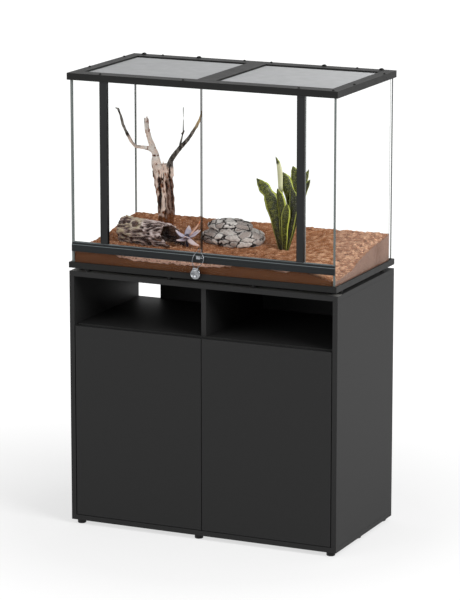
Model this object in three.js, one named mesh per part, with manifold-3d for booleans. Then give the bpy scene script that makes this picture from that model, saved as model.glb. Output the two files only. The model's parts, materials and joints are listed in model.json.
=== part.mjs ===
// A furnished glass terrarium standing on its cabinet, as one assembly of separate pieces.
// Millimetres, +Z up, the front faces -Y. Z = 0 is the floor under the cabinet's feet.
import * as THREE from "three";
import { mergeVertices } from "three/addons/utils/BufferGeometryUtils.js";
import Module from "manifold-3d";

const wasm = await Module();
wasm.setup();

// ---------------------------------------------------------------- driving dimensions
// Clearances
const fitGap = 0.3; // between a piece and the pocket or surface that holds it

// Cabinet carcass
const cabinetWidth = 1000;
const cabinetDepth = 503;
const cabinetHeight = 887; // carcass without its feet
const boardThickness = 18;
const backThickness = 9;
const nicheHeight = 169; // open shelf under the top panel
const frontSetback = 20; // shelf and uprights stand back behind the doors
const cableNotchWidth = 90;
const cableNotchHeight = 50;

// Cabinet feet
const footDiameter = 30;
const footHeight = 15;
const footSideInset = 28; // from the cabinet's side to a foot's centre
const footFrontInset = 23;
const middleFootOffset = -20; // beside the centre upright, where its screw finds board

// Cabinet doors
const doorThickness = 18;
const doorSideGap = 3;
const doorMeetingGap = 2.5;
const doorBottomGap = 2;
const doorTopDrop = 5; // below the shelf's upper face

// Concealed hinges
const hingeFromDoorEnd = 95;
const cupDiameter = 35;
const cupDepth = 12;
const cupFromEdge = 22.5; // door's edge to the cup's centre
const cupWall = 1.7;
const cupRimWidth = 1.8;
const cupPlateThickness = 1.5;
const cupPlateLength = 64;
const cupPlateWidth = 12;
const armLength = 79;
const armHeight = 14;
const armThickness = 10;
const armNoseGap = 3; // between the arm's nose and the cup's plate
const armNoseThickness = 7;
const armPlateLength = 40;
const armPlateHeight = 50;
const armPlateThickness = 2.5;

// Push-to-open latches under the shelf
const latchWidth = 20;
const latchHeight = 16;
const latchLength = 76;
const latchFromMiddle = 34;
const plungerDiameter = 8;
const plungerLength = 58;
const latchBoreDepth = 63;

// Terrarium glass
const glassSideInset = 10; // from the cabinet's side to the panes' outer face
const glassFrontInset = 3;
const paneThickness = 6;
const doorPaneThickness = 5;

// Base frame and its pads
const baseFrameSideReach = 8; // outside the panes
const baseFrameFrontReach = 9.5;
const baseFrameHeight = 20;
const baseLedgeHeight = 8;
const ledgeReach = 20; // under the panes, inwards from their outer faces
const padHeight = 12.5;
const padDiameter = 15;
const padRowShares = [-0.871, -0.249, 0.38]; // along the frame's half-length
const padRowInset = 20; // from the frame's front or rear face
const padSideInset = 14;
const padSideShares = [-0.736, 0.698];

// Front rail between the low pane and the doors
const lowPaneShowing = 38;
const railHeight = 32.6;
const railDepth = 18;
const railFrontReach = 5.5; // in front of the glass
const railBevelHeight = 9;
const railBevelDepth = 4.5;
const railEndInset = 1.7;
const railGroove = 10; // holds the low pane's upper edge
const stripGroove = 8; // holds the fixed strips' lower edge

// Top frame and crossbar
const terrariumHeight = 674.4; // from the base frame's underside to the top frame's face
const topFrameSideReach = 8; // outside the panes
const topFrameFrontReach = 10.5;
const topFrameHeight = 23.6;
const paneGrip = 10; // panes' upper edges inside the frame
const lidLedgeThickness = 3.6;
const lidLedgeReach = 12;
const topRailSideWidth = 20;
const topRailFrontWidth = 25;
const doorHeadDepth = 12.5; // solid part of the front rail above the doors, from the glass face
const crossbarWidth = 30;
const crossbarRibWidth = 6;

// Lids
const lidSideWidth = 19;
const lidFrontWidth = 28;
const meshRecess = 6;
const meshThickness = 1;
const meshRebate = 6;
const meshGrid = { columns: 12, rows: 11, barShare: 0.45 }; // as open as the woven wire it stands for

// Nubs on the top frame
const domeDiameter = 10;
const domeHeight = 4;
const archWidth = 16;
const archHeight = 6;
const archDepth = 8;
const nubRowInset = 12; // from the frame's outer face
const rearArchShares = [-0.91, -0.482, 0.472, 0.898]; // along the frame's half-length
const rearDomeShares = [-0.763, -0.131, 0.074, 0.719];
const frontDomeShares = [-0.757, -0.133, 0.711, 0.958];
const sideDomeShares = [-0.386, 0.637];
const sideDomeInset = 7;

// Glass doors and their hinge profiles
const doorOpeningShare = 0.7673; // hinge profiles' outer edges along the glass's half-length
const profileWidth = 26;
const profileDepth = 13;
const profileGrip = 12; // glass inside the profile
const glassMeetingGap = 3;
const doorEndGap = 1.5; // above the rail and below the top frame
const stripGap = 4; // between a hinge profile and the fixed strip beside it
const pivotFromOuterEdge = 5;
const pivotDiameter = 5;
const pivotLength = 7.5;
const pivotBoreDepth = 8;

// Wire lock on the left glass door
const lockDiameter = 38;
const lockThickness = 14;
const lockEdge = 3;
const lockX = -13.5;
const lockDrop = 85; // from the wire's hole down to the lock body's centre
const lockNeckWidth = 22;
const lockNeckHeight = 21; // above the lock body's centre
const lockNeckThickness = 8;
const wireDiameter = 2;
const wireHoleDiameter = 7;
const wireHoleX = -9;
const wireHoleAboveDoorEnd = 14.1;
const catchWidth = 15;
const catchHeight = 11;
const catchThickness = 1.8;
const catchX = -8.5;
const catchBarLength = 9;
const catchBarThickness = 3;

// Soil
const soilFrontHeight = 42;
const soilBackHeight = 92.5;
const soilSteepness = 1.6;
const soilDip = 22; // the hollow along the front pane
const soilDipX = -15;
const soilDipWidth = 130;
const soilRipple = 2;
const soilRippleX = 61;
const soilRippleY = 47;

// Furnishings, placed by shares of the soil bed's half-width and half-depth
const driftwoodPlace = [-0.591, 0.289];
const driftwoodHeight = 450;
const logLeft = [-0.81, -0.2];
const logRight = [-0.31, -0.31];
const logRadiusLeft = 49;
const logRadiusRight = 40;
const logBark = 7;
const logSeat = 4; // the log's lowest line stands this much above 0.7 of its radius
const logMouthTurn = 35; // degrees the broken mouth turns to the front
const logMouthTilt = 30; // degrees it looks upwards
const logMouthShare = 0.835; // along the log
const lowerStoneCentre = [-0.01, 0.14];
const lowerStoneSize = [116, 62, 34]; // half-lengths
const lowerStoneLift = 18;
const upperStoneCentre = [-0.047, 0.165];
const upperStoneSize = [84, 48, 22];
const upperStoneLift = 56;
const plantPlace = [0.405, 0];
const plantHeight = 320;
const leafThickness = 4;
const succulentPlace = [-0.298, -0.227];
const succulentStem = 38;
const succulentStemDiameter = 10;
const succulentReach = 75;
const succulentLeafWidth = 24;
const succulentLeafThickness = 6;

// ---------------------------------------------------------------- levels and lines worked out
const glassWidth = cabinetWidth - 2 * glassSideInset;
const glassDepth = cabinetDepth - 2 * glassFrontInset;
const baseFrameWidth = glassWidth + 2 * baseFrameSideReach;
const baseFrameDepth = glassDepth + 2 * baseFrameFrontReach;
const topFrameWidth = glassWidth + 2 * topFrameSideReach;
const topFrameDepth = glassDepth + 2 * topFrameFrontReach;

const carcassBottom = footHeight;
const carcassTop = carcassBottom + cabinetHeight;
const bottomPanelTop = carcassBottom + boardThickness;
const topPanelUnderside = carcassTop - boardThickness;
const shelfTop = topPanelUnderside - nicheHeight;
const shelfUnderside = shelfTop - boardThickness;
const cabinetFront = -cabinetDepth / 2;
const cabinetRear = cabinetDepth / 2;
const sideInner = cabinetWidth / 2 - boardThickness;
const backInner = cabinetRear - backThickness;
const shelfFront = cabinetFront + frontSetback;

const doorOuterX = sideInner - doorSideGap;
const doorInnerX = doorMeetingGap / 2;
const doorBottom = bottomPanelTop + doorBottomGap;
const doorTop = shelfTop - doorTopDrop;
const doorBackY = cabinetFront + doorThickness;

const baseBottom = carcassTop + padHeight;
const baseTop = baseBottom + baseFrameHeight;
const paneFoot = baseBottom + baseLedgeHeight;
const floorGlassTop = paneFoot + paneThickness;
const glassFront = -glassDepth / 2;
const glassRear = glassDepth / 2;
const glassSide = glassWidth / 2;
const insideX = glassSide - paneThickness;
const insideFront = glassFront + paneThickness;
const insideRear = glassRear - paneThickness;

const topFace = baseBottom + terrariumHeight;
const topFrameBottom = topFace - topFrameHeight;
const paneTop = topFrameBottom + paneGrip - fitGap;
const lidLedgeBottom = topFrameBottom + paneGrip;
const lidSeat = lidLedgeBottom + lidLedgeThickness;
const lidWellX = topFrameWidth / 2 - topRailSideWidth;
const lidWellY = topFrameDepth / 2 - topRailFrontWidth;

const railBottom = baseTop + lowPaneShowing;
const railTop = railBottom + railHeight;
const railFront = glassFront - railFrontReach;

const profileOuterX = doorOpeningShare * glassSide;
const glassDoorBottom = railTop + doorEndGap;
const glassDoorTop = topFrameBottom - doorEndGap;
const profileInnerX = profileOuterX - profileWidth;
const stripInnerX = profileOuterX + stripGap;
const pivotX = profileOuterX - pivotFromOuterEdge;
const doorPaneMiddleY = glassFront + doorPaneThickness / 2;
const pivotY = doorPaneMiddleY + 0.5;
const wireHoleZ = glassDoorBottom + wireHoleAboveDoorEnd;

// ---------------------------------------------------------------- finishes
function finish(color, roughness, metalness = 0) {
  return new THREE.MeshStandardMaterial({ color, roughness, metalness });
}

const boardFinish = finish(0x3a3a3a, 0.6);
const backBoardFinish = finish(0x222222, 0.7);
const blackPlastic = finish(0x303030, 0.5);
const blackFrame = finish(0x383836, 0.45);
const hingeSteel = finish(0xb9bcc0, 0.35, 0.9);
const greyPlastic = finish(0x8a8c8e, 0.5);
const clearGlass = new THREE.MeshStandardMaterial({
  color: 0xdfeae6,
  roughness: 0.05,
  transparent: true,
  opacity: 0.3,
});
const steelMesh = finish(0xb9b9b9, 0.5, 0.6);
const chrome = finish(0xd5d6d8, 0.15, 1);
const soilFinish = finish(0x8b5d41, 0.95);
const driftwoodFinish = finish(0x8a7460, 0.85);
const barkFinish = finish(0x8d8078, 0.9);
const stoneFinish = finish(0x8f877f, 0.85);
const leafFinish = finish(0x4e5420, 0.6);
const succulentFinish = finish(0xb9adb6, 0.7);

// ---------------------------------------------------------------- building tools
function solidOf(geometry) {
  const plain = geometry.clone();
  plain.deleteAttribute("normal");
  plain.deleteAttribute("uv");
  const merged = mergeVertices(plain, 1e-4);
  return new wasm.Manifold(
    new wasm.Mesh({
      numProp: 3,
      vertProperties: merged.attributes.position.array,
      triVerts: new Uint32Array(merged.index.array),
    }),
  );
}

function geometryOf(solid) {
  const mesh = solid.getMesh();
  const geometry = new THREE.BufferGeometry();
  geometry.setAttribute("position", new THREE.BufferAttribute(mesh.vertProperties, 3));
  geometry.setIndex(new THREE.BufferAttribute(mesh.triVerts, 1));
  geometry.computeVertexNormals();
  return geometry;
}

function joined(...geometries) {
  const solids = geometries.map(solidOf);
  return geometryOf(solids.reduce((whole, next) => whole.add(next)));
}

function without(geometry, ...cutters) {
  const solids = cutters.map(solidOf);
  return geometryOf(solids.reduce((whole, next) => whole.subtract(next), solidOf(geometry)));
}

// A box between two limits on each axis, given in either order.
function block(xs, ys, zs) {
  const size = [xs, ys, zs].map(([a, b]) => Math.abs(b - a));
  const middle = [xs, ys, zs].map(([a, b]) => (a + b) / 2);
  return new THREE.BoxGeometry(...size).translate(...middle);
}

// A cylinder along Y or Z between two limits of that axis.
function rodAlongY(diameter, x, z, [from, to], sides = 24) {
  const rod = new THREE.CylinderGeometry(diameter / 2, diameter / 2, Math.abs(to - from), sides);
  return rod.translate(x, (from + to) / 2, z);
}

function rodAlongZ(diameter, x, y, [from, to], sides = 24) {
  const rod = new THREE.CylinderGeometry(diameter / 2, diameter / 2, Math.abs(to - from), sides);
  return rod.rotateX(Math.PI / 2).translate(x, y, (from + to) / 2);
}

// An outline of [across, up] points pushed along an axis between two limits.
function slab(points, [from, to]) {
  const outline = new THREE.Shape(points.map(([a, b]) => new THREE.Vector2(a, b)));
  const depth = Math.abs(to - from);
  const options = { depth, bevelEnabled: false };
  return new THREE.ExtrudeGeometry(outline, options).translate(0, 0, Math.min(from, to));
}

// The outline lies in X and Y, and is pushed along Z.
function slabAlongZ(points, limits) {
  return slab(points, limits);
}

// The outline lies in Y and Z, and is pushed along X.
function slabAlongX(points, limits) {
  const turn = new THREE.Matrix4().makeBasis(
    new THREE.Vector3(0, 1, 0),
    new THREE.Vector3(0, 0, 1),
    new THREE.Vector3(1, 0, 0),
  );
  return slab(points, limits).applyMatrix4(turn);
}

// The outline lies in X and Z, and is pushed along Y.
function slabAlongY(points, [from, to]) {
  const turn = new THREE.Matrix4().makeBasis(
    new THREE.Vector3(1, 0, 0),
    new THREE.Vector3(0, 0, 1),
    new THREE.Vector3(0, -1, 0),
  );
  return slab(points, [-to, -from]).applyMatrix4(turn);
}

// A closed skin over rings of equal length, with a fan on each end.
function loft(rings) {
  const sides = rings[0].length;
  const points = rings.flat();
  const faces = [];
  for (let row = 0; row < rings.length - 1; row++) {
    for (let side = 0; side < sides; side++) {
      const a = row * sides + side;
      const b = row * sides + ((side + 1) % sides);
      faces.push(a, b, b + sides, a, b + sides, a + sides);
    }
  }
  const ends = [rings[0], rings[rings.length - 1]];
  const centres = ends.map((ring) =>
    ring.reduce((sum, p) => sum.add(p), new THREE.Vector3()).divideScalar(sides),
  );
  const first = points.length;
  const last = (rings.length - 1) * sides;
  for (let side = 0; side < sides; side++) {
    const next = (side + 1) % sides;
    faces.push(next, side, first);
    faces.push(last + side, last + next, first + 1);
  }
  const geometry = new THREE.BufferGeometry().setFromPoints([...points, ...centres]);
  geometry.setIndex(faces);
  return geometry;
}

// A limb of changing radius along a smooth line through the given [x, y, z, radius] stations.
function limb(stations, sides = 8, stepsPerStation = 2) {
  const line = new THREE.CatmullRomCurve3(stations.map(([x, y, z]) => new THREE.Vector3(x, y, z)));
  const steps = (stations.length - 1) * stepsPerStation;
  const rings = [];
  const tangentStart = line.getTangent(0);
  let across = new THREE.Vector3(0, 1, 0).cross(tangentStart).normalize();
  for (let step = 0; step <= steps; step++) {
    const share = step / steps;
    const centre = line.getPoint(share);
    const tangent = line.getTangent(share);
    across = across.clone().addScaledVector(tangent, -across.dot(tangent)).normalize();
    const up = tangent.clone().cross(across);
    const place = share * (stations.length - 1);
    const station = Math.min(Math.floor(place), stations.length - 2);
    const blend = place - station;
    const radius = stations[station][3] * (1 - blend) + stations[station + 1][3] * blend;
    const ring = [];
    for (let side = 0; side < sides; side++) {
      const angle = (side / sides) * 2 * Math.PI;
      const spoke = across.clone().multiplyScalar(radius * Math.cos(angle));
      ring.push(spoke.addScaledVector(up, radius * Math.sin(angle)).add(centre));
    }
    rings.push(ring);
  }
  return loft(rings);
}

const terrariumCabinet = new THREE.Group();
function add(group, name, geometry, material) {
  const mesh = new THREE.Mesh(geometry, material);
  mesh.name = name;
  group.add(mesh);
  return mesh;
}

const bothSides = [
  ["left", -1],
  ["right", 1],
];

// ---------------------------------------------------------------- cabinet
function cabinetCarcass() {
  const carcass = new THREE.Group();
  const fullWidth = [-cabinetWidth / 2, cabinetWidth / 2];
  const fullDepth = [cabinetFront, cabinetRear];
  const innerWidth = [-sideInner, sideInner];
  const uprightWidth = [-boardThickness / 2, boardThickness / 2];
  const shelfDepth = [shelfFront, backInner];
  add(carcass, "cabinet_top", block(fullWidth, fullDepth, [topPanelUnderside, carcassTop]), boardFinish);
  add(carcass, "cabinet_bottom", block(fullWidth, fullDepth, [carcassBottom, bottomPanelTop]), boardFinish);
  for (const [side, sign] of bothSides) {
    const xs = [sign * sideInner, (sign * cabinetWidth) / 2];
    const panel = block(xs, fullDepth, [bottomPanelTop, topPanelUnderside]);
    add(carcass, `side_panel_${side}`, panel, boardFinish);
  }
  add(carcass, "shelf", block(innerWidth, shelfDepth, [shelfUnderside, shelfTop]), boardFinish);
  const divider = block(uprightWidth, shelfDepth, [shelfTop, topPanelUnderside]);
  add(carcass, "niche_divider", divider, boardFinish);
  const upright = block(uprightWidth, shelfDepth, [bottomPanelTop, shelfUnderside]);
  add(carcass, "centre_upright", upright, boardFinish);
  add(carcass, "back_panel", backPanel(), backBoardFinish);
  for (const [row, y] of footRows()) {
    for (const [column, x] of footColumns()) {
      add(carcass, `foot_${row}_${column}`, foot().translate(x, y, 0), blackPlastic);
    }
  }
  return carcass;
}

// One board between the side panels, with a corner notch for cables at niche floor level.
function backPanel() {
  const notchX = cableNotchWidth - sideInner;
  const notchTop = shelfTop + cableNotchHeight;
  const outline = [
    [-sideInner, bottomPanelTop],
    [sideInner, bottomPanelTop],
    [sideInner, topPanelUnderside],
    [-sideInner, topPanelUnderside],
    [-sideInner, notchTop],
    [notchX, notchTop],
    [notchX, shelfTop],
    [-sideInner, shelfTop],
  ];
  return slabAlongY(outline, [backInner, cabinetRear]);
}

function footColumns() {
  const outer = cabinetWidth / 2 - footSideInset;
  return [
    ["left", -outer],
    ["middle", middleFootOffset],
    ["right", outer],
  ];
}

function footRows() {
  const outer = cabinetDepth / 2 - footFrontInset;
  return [
    ["front", -outer],
    ["centre", 0],
    ["rear", outer],
  ];
}

// A turned plastic disc with a small chamfer where it meets the floor.
function foot() {
  const radius = footDiameter / 2;
  const chamfer = 1.5;
  const profile = [
    [0, 0],
    [radius - chamfer, 0],
    [radius, chamfer],
    [radius, footHeight],
    [0, footHeight],
  ].map(([r, z]) => new THREE.Vector2(r, z));
  return new THREE.LatheGeometry(profile, 20).rotateX(Math.PI / 2);
}

function cupCentreX(sign) {
  return sign * (doorOuterX - cupFromEdge);
}

function hingeHeights() {
  return [
    ["lower", doorBottom + hingeFromDoorEnd],
    ["upper", doorTop - hingeFromDoorEnd],
  ];
}

function cabinetDoors() {
  const doors = new THREE.Group();
  for (const [side, sign] of bothSides) {
    const xs = [sign * doorInnerX, sign * doorOuterX];
    const panel = block(xs, [cabinetFront, doorBackY], [doorBottom, doorTop]);
    const pockets = hingeHeights().map(([, z]) =>
      rodAlongY(cupDiameter, cupCentreX(sign), z, [doorBackY - cupDepth, doorBackY + 1], 32),
    );
    add(doors, `cabinet_door_${side}`, without(panel, ...pockets), boardFinish);
    for (const [level, z] of hingeHeights()) {
      add(doors, `hinge_cup_${side}_${level}`, hingeCup(cupCentreX(sign), z), hingeSteel);
      add(doors, `hinge_arm_${side}_${level}`, hingeArm(sign, z), hingeSteel);
    }
  }
  return doors;
}

// The pressed cup in its pocket, with the two-eared plate that is screwed to the door's back.
function hingeCup(x, z) {
  const outer = cupDiameter - 2 * fitGap;
  const cupBottom = doorBackY - cupDepth + fitGap;
  const plateBack = doorBackY + cupPlateThickness;
  const shell = rodAlongY(outer, x, z, [cupBottom, plateBack], 32);
  const rim = rodAlongY(outer + 2 * cupRimWidth, x, z, [doorBackY, plateBack], 32);
  const halfWidth = cupPlateWidth / 2;
  const halfLength = cupPlateLength / 2;
  const plate = block(
    [x - halfWidth, x + halfWidth],
    [doorBackY, plateBack],
    [z - halfLength, z + halfLength],
  );
  const hollow = rodAlongY(outer - 2 * cupWall, x, z, [cupBottom + cupWall, plateBack + 1], 32);
  return without(joined(shell, rim, plate), hollow);
}

// The cranked arm on its plate, screwed to the side panel's inner face.
function hingeArm(sign, z) {
  const noseFront = doorBackY + cupPlateThickness + armNoseGap;
  const noseBack = noseFront + armNoseThickness;
  const armBack = noseFront + armLength;
  const plateFace = sideInner - armPlateThickness;
  const armInner = plateFace - armThickness;
  const noseTip = Math.abs(cupCentreX(sign)) - armHeight / 3;
  const outline = [
    [sideInner - armPlateThickness / 2, armBack],
    [armInner, armBack],
    [armInner, noseBack + armThickness],
    [noseTip, noseBack],
    [noseTip, noseFront],
    [plateFace, noseFront],
    [sideInner - armPlateThickness / 2, noseBack],
  ].map(([x, y]) => [sign * x, y]);
  const arm = slabAlongZ(outline, [z - armHeight / 2, z + armHeight / 2]);
  const plate = block(
    [sign * sideInner, sign * plateFace],
    [armBack - armPlateLength, armBack],
    [z - armPlateHeight / 2, z + armPlateHeight / 2],
  );
  return joined(arm, plate);
}

function pushLatches() {
  const latches = new THREE.Group();
  const bodyFront = shelfFront + 2;
  const bodyBack = bodyFront + latchLength;
  const middleZ = shelfUnderside - latchHeight / 2;
  for (const [side, sign] of bothSides) {
    const x = sign * latchFromMiddle;
    const body = block(
      [x - latchWidth / 2, x + latchWidth / 2],
      [bodyFront, bodyBack],
      [shelfUnderside - latchHeight, shelfUnderside],
    );
    const boreLimits = [bodyFront - 1, bodyFront + latchBoreDepth];
    const bore = rodAlongY(plungerDiameter + 2 * fitGap, x, middleZ, boreLimits, 16);
    add(latches, `latch_body_${side}`, without(body, bore), greyPlastic);
    const tip = doorBackY + fitGap;
    const plunger = rodAlongY(plungerDiameter, x, middleZ, [tip, tip + plungerLength], 16);
    add(latches, `latch_plunger_${side}`, plunger, greyPlastic);
  }
  return latches;
}

// ---------------------------------------------------------------- terrarium: frames and panes
// A rectangular ring centred on the terrarium, given by outer and inner half-lengths.
function ring(outerX, outerY, innerX, innerY, [bottom, top]) {
  const whole = block([-outerX, outerX], [-outerY, outerY], [bottom, top]);
  const hole = block([-innerX, innerX], [-innerY, innerY], [bottom - 1, top + 1]);
  return without(whole, hole);
}

// An L-shaped moulding all round: a ledge under the panes, a skirt outside them, pads below.
function baseFrame() {
  const outerX = baseFrameWidth / 2;
  const outerY = baseFrameDepth / 2;
  const openX = glassSide - ledgeReach;
  const openY = glassRear - ledgeReach;
  const ledge = ring(outerX, outerY, openX, openY, [baseBottom, paneFoot]);
  const skirt = ring(
    outerX,
    outerY,
    glassSide + fitGap,
    glassRear + fitGap,
    [baseBottom, baseTop],
  );
  const padLimits = [carcassTop, baseBottom + baseLedgeHeight / 2];
  const pads = [];
  const rowY = outerY - padRowInset;
  const rowX = outerX - padSideInset;
  for (const sign of [-1, 1]) {
    for (const share of padRowShares) {
      pads.push(rodAlongZ(padDiameter, share * outerX, sign * rowY, padLimits, 12));
    }
    for (const share of padSideShares) {
      pads.push(rodAlongZ(padDiameter, sign * rowX, share * outerY, padLimits, 12));
    }
  }
  return joined(ledge, skirt, ...pads);
}

function panes() {
  const glass = new THREE.Group();
  const walls = [floorGlassTop, paneTop];
  const frontFaces = [glassFront, insideFront];
  const floor = block([-glassSide, glassSide], [glassFront, glassRear], [paneFoot, floorGlassTop]);
  add(glass, "floor_glass", floor, clearGlass);
  add(glass, "back_glass", block([-glassSide, glassSide], [insideRear, glassRear], walls), clearGlass);
  const lowPane = block([-insideX, insideX], frontFaces, [
    floorGlassTop,
    railBottom + railGroove - fitGap,
  ]);
  add(glass, "front_glass_low", lowPane, clearGlass);
  for (const [side, sign] of bothSides) {
    const wall = block([sign * insideX, sign * glassSide], [glassFront, insideRear], walls);
    add(glass, `side_glass_${side}`, wall, clearGlass);
    const strip = block([sign * stripInnerX, sign * insideX], frontFaces, [
      railTop - stripGroove + fitGap,
      paneTop,
    ]);
    add(glass, `front_glass_${side}`, strip, clearGlass);
  }
  return glass;
}

// The extruded rail that caps the low pane: bevelled face, grooves for glass, bores for pivots.
function frontRail() {
  const lipBack = glassFront - fitGap;
  const back = railFront + railDepth;
  const bevelFoot = railTop - railBevelHeight;
  const face = [
    [railFront, railBottom],
    [railFront, bevelFoot],
    [railFront + railBevelDepth, railTop],
  ];
  const body = slabAlongX(
    [...face, [back, railTop], [back, railBottom]].reverse(),
    [-insideX, insideX],
  );
  const lipEnd = glassSide - railEndInset;
  const lip = slabAlongX(
    [...face, [lipBack, railTop], [lipBack, railBottom]].reverse(),
    [-lipEnd, lipEnd],
  );
  const grooveFaces = [glassFront - fitGap, insideFront + fitGap];
  const cutters = [
    block([-insideX, insideX], grooveFaces, [railBottom - 1, railBottom + railGroove]),
  ];
  for (const sign of [-1, 1]) {
    const stripEnd = sign * (stripInnerX - fitGap);
    cutters.push(
      block([stripEnd, sign * insideX], grooveFaces, [railTop - stripGroove, railTop + 1]),
    );
    const boreLimits = [railTop - pivotBoreDepth, railTop + 1];
    cutters.push(
      rodAlongZ(pivotDiameter + 2 * fitGap, sign * pivotX, pivotY, boreLimits, 16),
    );
  }
  return without(joined(body, lip), ...cutters);
}

// The moulded rim: a skirt round the panes, a ledge that carries the lids, and a raised border.
function topFrame() {
  const outerX = topFrameWidth / 2;
  const outerY = topFrameDepth / 2;
  const skirt = ring(
    outerX,
    outerY,
    glassSide + fitGap,
    glassRear + fitGap,
    [topFrameBottom, lidSeat],
  );
  const ledge = ring(
    outerX,
    outerY,
    lidWellX - lidLedgeReach,
    lidWellY - lidLedgeReach,
    [lidLedgeBottom, lidSeat],
  );
  const border = ring(outerX, outerY, lidWellX, lidWellY, [lidLedgeBottom, topFace]);
  const doorHead = block(
    [-stripInnerX + fitGap, stripInnerX - fitGap],
    [-outerY + 1, glassFront + doorHeadDepth],
    [topFrameBottom, lidSeat],
  );
  const bores = [-1, 1].map((sign) =>
    rodAlongZ(
      pivotDiameter + 2 * fitGap,
      sign * pivotX,
      pivotY,
      [topFrameBottom - 1, topFrameBottom + pivotBoreDepth],
      16,
    ),
  );
  return without(joined(skirt, ledge, border, doorHead, ...topFrameNubs()), ...bores);
}

function topFrameNubs() {
  const outerX = topFrameWidth / 2;
  const outerY = topFrameDepth / 2;
  const rowY = outerY - nubRowInset;
  const sideX = outerX - sideDomeInset;
  return [
    ...rearArchShares.map((share) => cableArch(share * outerX, rowY)),
    ...rearDomeShares.map((share) => dome(share * outerX, rowY)),
    ...frontDomeShares.map((share) => dome(share * outerX, -rowY)),
    ...sideDomeShares.map((share) => dome(-sideX, share * outerY)),
    ...sideDomeShares.map((share) => dome(sideX, share * outerY)),
  ];
}

// A low round nub on the frame's face, rooted a little below it.
function dome(x, y) {
  const root = -1;
  const profile = [new THREE.Vector2(0, root), new THREE.Vector2(domeDiameter / 2, root)];
  const steps = 3;
  for (let step = 0; step <= steps; step++) {
    const angle = (step / steps) * (Math.PI / 2);
    const radius = step === steps ? 0 : (domeDiameter / 2) * Math.cos(angle);
    profile.push(new THREE.Vector2(radius, domeHeight * Math.sin(angle)));
  }
  return new THREE.LatheGeometry(profile, 8).rotateX(Math.PI / 2).translate(x, y, topFace);
}

// A low bridge on the rear rail, which leads a lamp's cable over the frame.
function cableArch(x, y) {
  const root = -1;
  const outline = [[-archWidth / 2, root]];
  const steps = 8;
  for (let step = 0; step <= steps; step++) {
    const angle = Math.PI * (1 - step / steps);
    outline.push([(archWidth / 2) * Math.cos(angle), archHeight * Math.sin(angle)]);
  }
  outline.push([archWidth / 2, root]);
  const arch = slabAlongY(outline.reverse(), [y - archDepth / 2, y + archDepth / 2]);
  return arch.translate(x, 0, topFace);
}

// The bar between the two lids: a web flush with the frame, feet under the lids and a rib below.
function topCrossbar() {
  const ledgeY = lidWellY - lidLedgeReach;
  const web = block(
    [-crossbarWidth / 2, crossbarWidth / 2],
    [-lidWellY, lidWellY],
    [lidSeat, topFace],
  );
  const feetX = crossbarWidth / 2 + lidLedgeReach;
  const feet = block([-feetX, feetX], [-ledgeY, ledgeY], [lidLedgeBottom, lidSeat]);
  const rib = block(
    [-crossbarRibWidth / 2, crossbarRibWidth / 2],
    [-ledgeY, ledgeY],
    [topFrameBottom, lidSeat + 1],
  );
  return joined(web, feet, rib);
}

// ---------------------------------------------------------------- terrarium: lids
// A sheet with a plain grid of openings over the lid's window.
function meshSheet(windowX, windowY, tuck, heights) {
  const { columns, rows, barShare } = meshGrid;
  const pitch = [(windowX[1] - windowX[0]) / columns, (windowY[1] - windowY[0]) / rows];
  const half = pitch.map((size) => (size * (1 - barShare)) / 2);
  const through = [heights[0] - 1, heights[1] + 1];
  const openings = [];
  for (let column = 0; column < columns; column++) {
    for (let row = 0; row < rows; row++) {
      const x = windowX[0] + (column + 0.5) * pitch[0];
      const y = windowY[0] + (row + 0.5) * pitch[1];
      openings.push(block([x - half[0], x + half[0]], [y - half[1], y + half[1]], through));
    }
  }
  const sheet = block(
    [windowX[0] - tuck, windowX[1] + tuck],
    [windowY[0] - tuck, windowY[1] + tuck],
    heights,
  );
  return without(sheet, ...openings);
}

function lids() {
  const group = new THREE.Group();
  const outer = lidWellX - fitGap;
  const inner = crossbarWidth / 2 + fitGap;
  const halfDepth = lidWellY - fitGap;
  const windowY = halfDepth - lidFrontWidth;
  const windowX = [inner + lidSideWidth, outer - lidSideWidth];
  const meshTop = topFace - meshRecess;
  for (const [side, sign] of bothSides) {
    const frame = block([sign * inner, sign * outer], [-halfDepth, halfDepth], [lidSeat, topFace]);
    const window = block(
      windowX.map((x) => sign * x),
      [-windowY, windowY],
      [lidSeat - 1, topFace + 1],
    );
    const rebate = block(
      [sign * (windowX[0] - meshRebate), sign * (windowX[1] + meshRebate)],
      [-windowY - meshRebate, windowY + meshRebate],
      [lidSeat - 1, meshTop],
    );
    add(group, `lid_frame_${side}`, without(frame, window, rebate), blackFrame);
    const tuck = meshRebate - fitGap;
    const reach = windowX.map((x) => sign * x).sort((a, b) => a - b);
    const heights = [meshTop - meshThickness, meshTop];
    const mesh = meshSheet(reach, [-windowY, windowY], tuck, heights);
    add(group, `lid_mesh_${side}`, mesh, steelMesh);
  }
  return group;
}

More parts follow.
